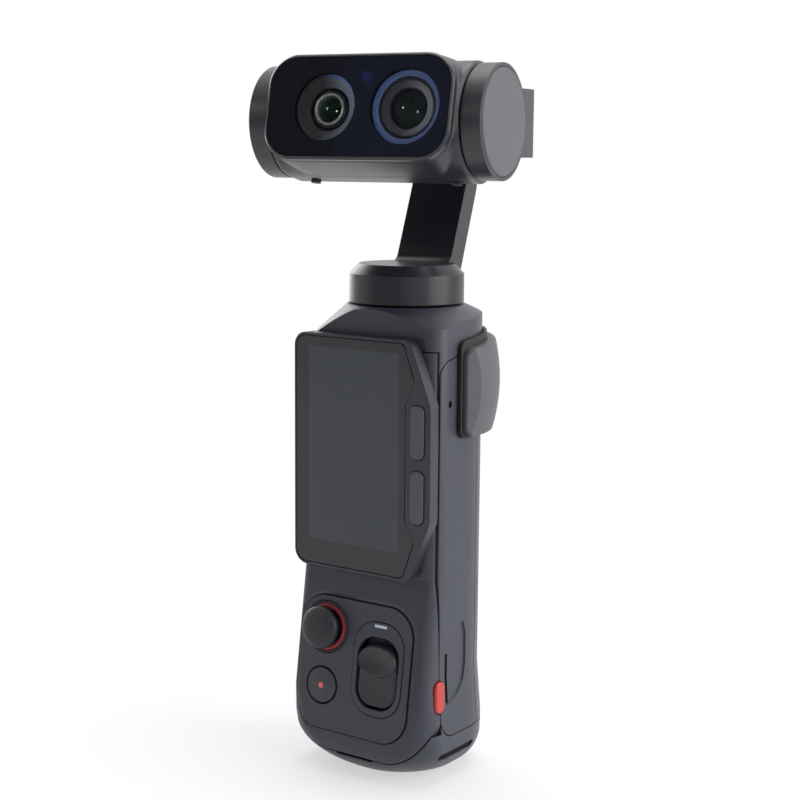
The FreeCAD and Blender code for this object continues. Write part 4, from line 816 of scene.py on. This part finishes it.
def add_slot_mesh():
    """Black grille in the slot of the foot, a little below the foot's own surface."""
    slot_middle, slot_lean = Vector((15.1, -5.6, 7.8)) * MM, math.radians(25.0)
    size, radius = (13.7, 2.0), 0.99
    recess, back = 0.35, -0.2
    # Rays from well outside, spread a little so that they meet the foot round the slot
    ray_start, spread_y, spread_z = 12.0, 1.04, 1.35
    place = Matrix.Translation(slot_middle) @ Matrix.Rotation(slot_lean, 4, "Y")
    wall = bmesh.new()
    wall.from_mesh(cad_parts["bottom_cap"].data)
    surface = BVHTree.FromBMesh(wall)
    wall.free()
    inwards = (place.to_3x3() @ Vector((-1.0, 0.0, 0.0))).normalized()
    mesh = bmesh.new()
    inner, outer = [], []
    for y, z in rounded_outline((0.0, 0.0), size, radius, per_corner=8, per_side=6):
        start = place @ (Vector((ray_start, y * spread_y, z * spread_z)) * MM)
        found = surface.ray_cast(start, inwards)[0]
        depth = (place.inverted() @ found).x / MM - recess
        inner.append(mesh.verts.new((back, y, z)))
        outer.append(mesh.verts.new((depth, y, z)))
    skin(mesh, [inner, outer])
    mesh.faces.new(inner)
    mesh.faces.new(outer)
    bmesh.ops.triangulate(mesh, faces=[f for f in mesh.faces if len(f.verts) > 4])
    made = close_mesh(mesh, "foot_slot_grille")
    finish = moulded("grille_finish", (0.004, 0.004, 0.005), rough=0.7, grain=0.25, depth=0.05,
                     gloss=0.15, wear_and_highlight=1.0)
    add_piece("foot_slot_grille", made, place, "handle", "card_plastic", finish)


def add_unit_lip():
    """Thin lip round the back of the front unit, which narrows its seam with the handle."""
    back, tolerance, reach = -13.2 * MM, 2e-5, 0.47
    mesh = bmesh.new()
    mesh.from_mesh(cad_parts["unit_shell"].data)
    apart = [f for f in mesh.faces if any(abs(v.co.y - back) > tolerance for v in f.verts)]
    bmesh.ops.delete(mesh, geom=apart, context="FACES")
    bmesh.ops.remove_doubles(mesh, verts=mesh.verts, dist=1e-6)
    bmesh.ops.scale(mesh, vec=(1 / MM,) * 3, verts=mesh.verts)
    grown = bmesh.ops.extrude_face_region(mesh, geom=list(mesh.faces), use_keep_orig=True)
    moved = [g for g in grown["geom"] if isinstance(g, bmesh.types.BMVert)]
    bmesh.ops.translate(mesh, vec=(0.0, reach, 0.0), verts=moved)
    made = close_mesh(mesh, "unit_rear_lip")
    made.materials.clear()
    add_piece("unit_rear_lip", made, SOLIDS, "front_unit", "body_plastic")


def add_shoulder_corners():
    """Lower front corners of the top shell, between the arch and each side cover."""
    steps, start, end = 14, 180, 103
    arch_y, arch_z, arch_radius = -9.25, 91.09, 3.45
    edge_y, edge_z, edge_slope = -12.45, 93.9, 0.226
    overlap, least_height = 0.02, 0.01
    flat_x, corner_radius, corner_y = 14.6, 3.7, -10.5
    thickness = 1.6
    for side, label in SIDES:
        mesh = bmesh.new()
        rows = []
        for y, low in arc_points((arch_y, arch_z), arch_radius, start, end, steps):
            high = edge_z + edge_slope * (y - edge_y) + overlap
            high = max(high, low + least_height)
            outer = flat_x + corner_radius
            if side > 0:
                past = min(0.0, y - corner_y)
                outer = flat_x + math.sqrt(max(0.0, corner_radius ** 2 - past ** 2))
            inner = outer - thickness
            corners = ((outer, low), (outer, high), (inner, high), (inner, low))
            rows.append([mesh.verts.new((side * x, y, z)) for x, z in corners])
        skin(mesh, rows)
        mesh.faces.new(rows[0])
        mesh.faces.new(rows[-1])
        name = f"shoulder_corner_{label}"
        add_piece(name, close_mesh(mesh, name), SOLIDS, "handle", "body_plastic")


def add_thread():
    """Tripod insert with its threaded bore."""
    pitch, length = 25.4 / 20, 7.0
    bore, thread_depth, lead_in, outside = 3.175, 0.55, 0.8, 4.8
    steps, rows = 72, 66
    mesh = bmesh.new()
    rings = []
    for i in range(rows + 1):
        z = length * i / rows
        ring = []
        for k, (c, s) in enumerate(circle(steps)):
            phase = (z / pitch - k / steps) % 1.0
            ridge = 1 - abs(2 * phase - 1)
            r = bore - thread_depth * ridge * min(1.0, z / lead_in)
            ring.append(mesh.verts.new((r * c, r * s, z)))
        rings.append(ring)
    for z in (length, 0.0):
        rings.append([mesh.verts.new((outside * c, outside * s, z)) for c, s in circle(steps)])
    skin(mesh, rings + rings[:1])
    made = close_mesh(mesh, "threaded_insert")
    piece = add_piece("threaded_insert", made, SOLIDS, "handle", "insert_brass")
    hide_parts("tripod_insert")


add_main_lens()
add_tele_lens()
add_joystick()
add_joystick_ring()
add_record_button()
add_rocker()
add_slot_mesh()
add_unit_lip()
add_shoulder_corners()
add_thread()


def seen_rays(tree):
    """1 for the rays that show the background: seen straight, mirrored or through glass."""
    rays = tree.nodes.new("ShaderNodeLightPath").outputs
    seen = math_node(tree, "MAXIMUM", rays["Is Camera Ray"], rays["Is Glossy Ray"])
    return math_node(tree, "MAXIMUM", seen, rays["Is Transmission Ray"])


def floor_material():
    """Pale floor with the object's shadow, fading to plain white away from it."""
    material, tree, shader, place = new_material("floor_finish")
    shader.inputs["Roughness"].default_value = 0.6
    shader.inputs["Specular IOR Level"].default_value = 0.2
    cloud = noise(tree, place, 300.0)
    colour = mix_colours(tree, cloud, (0.83, 0.84, 0.86), (0.85, 0.86, 0.875))
    tree.links.new(colour, shader.inputs["Base Color"])
    length = tree.nodes.new("ShaderNodeVectorMath")
    length.operation = "LENGTH"
    tree.links.new(place, length.inputs[0])
    far = remap(tree, length.outputs["Value"], *FLOOR_FADE, FLOOR_NEAR_WHITE, 1.0, smooth=True)
    white = tree.nodes.new("ShaderNodeEmission")
    white.inputs["Strength"].default_value = 1.0
    blend = tree.nodes.new("ShaderNodeMixShader")
    tree.links.new(math_node(tree, "MULTIPLY", far, seen_rays(tree)), blend.inputs["Fac"])
    tree.links.new(shader.outputs["BSDF"], blend.inputs[1])
    tree.links.new(white.outputs["Emission"], blend.inputs[2])
    tree.links.new(blend.outputs["Shader"], tree.nodes["Material Output"].inputs["Surface"])
    return material


def add_floor():
    mesh = bmesh.new()
    bmesh.ops.create_circle(mesh, cap_ends=True, segments=96, radius=FLOOR_RADIUS)
    made = mesh_data(mesh, "floor")
    made.materials.append(floor_material())
    floor = new_object("floor", made)
    floor.location.z = -FLOOR_DROP


def add_world():
    """White surroundings, dimmer as a lamp than as a background."""
    world = bpy.data.worlds.new("studio")
    bpy.context.scene.world = world
    world.use_nodes = True
    tree = world.node_tree
    background = tree.nodes["Background"]
    strength = remap(tree, seen_rays(tree), 0.0, 1.0, WORLD_GLOW, 1.0)
    tree.links.new(strength, background.inputs["Strength"])
    background.inputs["Color"].default_value = (1.0, 1.0, 1.0, 1.0)


def add_lamp(name, place, target, size, watts):
    lamp = bpy.data.lights.new(name, "AREA")
    lamp.shape = "RECTANGLE"
    lamp.size, lamp.size_y = size
    lamp.energy = watts
    thing = new_object(name, lamp)
    thing.location = place
    aim = Vector(target) - Vector(place)
    thing.rotation_euler = aim.to_track_quat("-Z", "Y").to_euler()


def add_dark_card():
    """Dark card in front of the part, which shows only in reflections and shade."""
    mesh = bmesh.new()
    bmesh.ops.create_grid(mesh, x_segments=1, y_segments=1, size=CARD_HALF)
    made = mesh_data(mesh, "dark_card")
    material, tree, shader, place = new_material("dark_card_finish")
    cloud = noise(tree, place, 200.0)
    colour = mix_colours(tree, cloud, (0.02, 0.02, 0.022), (0.03, 0.03, 0.032))
    tree.links.new(colour, shader.inputs["Base Color"])
    shader.inputs["Roughness"].default_value = 0.9
    made.materials.append(material)
    card = new_object("dark_card", made)
    card.location = CARD_MIDDLE + CARD_TOWARDS * CARD_DISTANCE
    card.rotation_euler = CARD_TOWARDS.to_track_quat("Z", "Y").to_euler()
    card.visible_camera = False


def add_camera():
    camera = bpy.data.cameras.new("photo_camera")
    camera.lens = CAMERA_LENS
    camera.sensor_width = CAMERA_SENSOR
    camera.clip_start, camera.clip_end = CAMERA_CLIP
    thing = new_object("photo_camera", camera)
    turn = (
        Matrix.Rotation(CAMERA_YAW, 4, "Z")
        @ Matrix.Rotation(math.pi / 2 + CAMERA_PITCH, 4, "X")
        @ Matrix.Rotation(CAMERA_ROLL, 4, "Z")
    )
    thing.matrix_world = Matrix.Translation(CAMERA_PLACE) @ turn
    bpy.context.scene.camera = thing


add_floor()
add_world()
add_dark_card()
for lamp_values in LAMPS:
    add_lamp(*lamp_values)
add_camera()
bpy.context.scene.view_settings.view_transform = "Standard"
